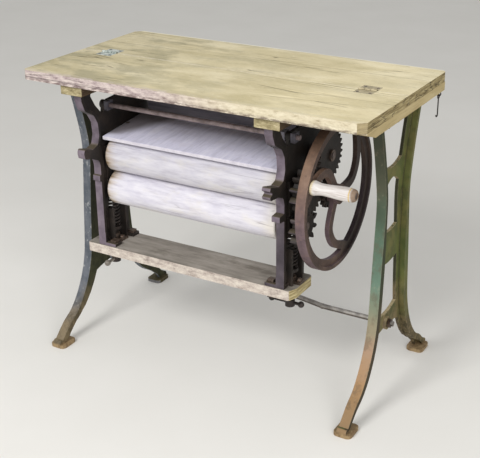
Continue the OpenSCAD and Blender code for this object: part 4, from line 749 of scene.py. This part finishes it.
# Width of the rounding on the edges of each solid, in metres
ROUNDED = {
    "rear_board": 0.003, "front_board": 0.003,
    "left_bearer": 0.002, "right_bearer": 0.002, "left_cleat": 0.002, "right_cleat": 0.002,
    "drip_board": 0.0025, "drip_back_board": 0.0025, "cross_board": 0.003,
    "left_side_frame": 0.0014, "right_side_frame": 0.0014,
    "left_leg_frame": 0.0018, "right_leg_frame": 0.0018,
    "handwheel": 0.002,
    "driven_cog": 0.0008, "pressure_cog": 0.0008, "idler_gear": 0.0005,
    "driven_spur_gear": 0.0005, "drive_pinion": 0.0005,
    "tie_rod_nuts": 0.0012, "pressure_screw_nuts": 0.0012, "cross_board_bolts": 0.001,
    "cross_board_nuts": 0.001, "stretcher_nuts": 0.0008, "handwheel_nut": 0.001,
    "driven_bearing_blocks": 0.001, "pressure_bearing_blocks": 0.001,
}

WELD_DISTANCE = 0.00002
ROUNDING_STEPS = 2
ROUNDED_ABOVE = math.radians(35)


def dress(name, material):
    """Gives a CAD node its material, and rounds its edges where it is cast, sawn or forged."""
    piece = nodes[name]
    if not piece.material_slots:
        piece.data.materials.append(material)
    for slot in piece.material_slots:
        slot.material = material
    if name in ROUNDED:
        weld = piece.modifiers.new("weld", "WELD")
        weld.merge_threshold = WELD_DISTANCE
        bevel = piece.modifiers.new("bevel", "BEVEL")
        bevel.width = ROUNDED[name]
        bevel.segments = ROUNDING_STEPS
        bevel.limit_method = "ANGLE"
        bevel.angle_limit = ROUNDED_ABOVE
        bevel.harden_normals = True


for material, names in MATERIALS.items():
    for name in names:
        dress(name, material)


# Springs, as smooth coils of the same wire

SPRING_TURNS = 9
SPRING_RADIUS = 0.015
SPRING_WIRE = 0.00272
SPRING_INSET = 0.0001
TURN_STEPS = 32
WIRE_SIDES = 14


def coil(name):
    """A smooth tube wound like the CAD spring, in its box and ending where it ends."""
    low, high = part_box(name)
    middle = (low + high) / 2
    start = low.z + SPRING_WIRE + SPRING_INSET
    climb = (high.z - low.z - 2 * SPRING_WIRE - 2 * SPRING_INSET) / SPRING_TURNS
    slope = Vector((0, 2 * math.pi * SPRING_RADIUS, climb)).normalized()
    up = Vector((1, 0, 0)).cross(slope)
    points = []
    for i in range(SPRING_TURNS * TURN_STEPS + 1):
        turn = Matrix.Rotation(2 * math.pi * i / TURN_STEPS, 3, "Z")
        centre = Vector((SPRING_RADIUS, 0, start - middle.z + climb * i / TURN_STEPS))
        for k in range(WIRE_SIDES):
            angle = 2 * math.pi * k / WIRE_SIDES
            around = Vector((math.cos(angle), 0, 0)) + up * math.sin(angle)
            points.append(turn @ (centre + around * SPRING_WIRE) + middle)
    faces = []
    for i in range(SPRING_TURNS * TURN_STEPS):
        for k in range(WIRE_SIDES):
            a, b = i * WIRE_SIDES + k, i * WIRE_SIDES + (k + 1) % WIRE_SIDES
            faces.append((a, b, b + WIRE_SIDES, a + WIRE_SIDES))
    last = SPRING_TURNS * TURN_STEPS * WIRE_SIDES
    faces.append(tuple(reversed(range(WIRE_SIDES))))
    faces.append(tuple(range(last, last + WIRE_SIDES)))
    mesh = bpy.data.meshes.new(name + "_coil")
    mesh.from_pydata(points, [], faces)
    mesh.materials.append(SPRING_STEEL)
    for face in mesh.polygons:
        face.use_smooth = len(face.vertices) == 4
    piece = add_object(name + "_coil", mesh)
    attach(piece, "flip_top")
    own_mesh(piece)
    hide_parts(name)


coil("left_spring")
coil("right_spring")


# Floor and light

FLOOR_REACH = 12
SKY_STRENGTH = 0.55

# Name, place, aim, width in metres, power in watts
LAMPS = [
    ("key", (-0.6, -3.2, 2.9), (0, 0, 0.5), 1.6, 95),
    ("fill", (2.6, -2.2, 2.0), (0, 0, 0.4), 2.0, 45),
]


def make_floor():
    mesh = bpy.data.meshes.new("floor")
    sides = ((-1, -1), (1, -1), (1, 1), (-1, 1))
    corners = [(x * FLOOR_REACH, y * FLOOR_REACH, 0) for x, y in sides]
    mesh.from_pydata(corners, [], [(0, 1, 2, 3)])
    mesh.materials.append(plain_floor())
    floor = add_object("floor", mesh)


def make_lamp(name, at, towards, size, power):
    data = bpy.data.lights.new(name, "AREA")
    data.shape = "DISK"
    data.size = size
    data.energy = power
    lamp = add_object(name, data)
    lamp.location = at
    lamp.rotation_mode = "QUATERNION"
    lamp.rotation_quaternion = (Vector(towards) - Vector(at)).to_track_quat("-Z", "Y")


def make_world():
    world = bpy.data.worlds.new("world")
    bpy.context.scene.world = world
    world.use_nodes = True
    background = world.node_tree.nodes["Background"]
    background.inputs["Color"].default_value = (1, 1, 1, 1)
    background.inputs["Strength"].default_value = SKY_STRENGTH


make_floor()
for lamp_values in LAMPS:
    make_lamp(*lamp_values)
make_world()
bpy.context.scene.view_settings.view_transform = "Standard"
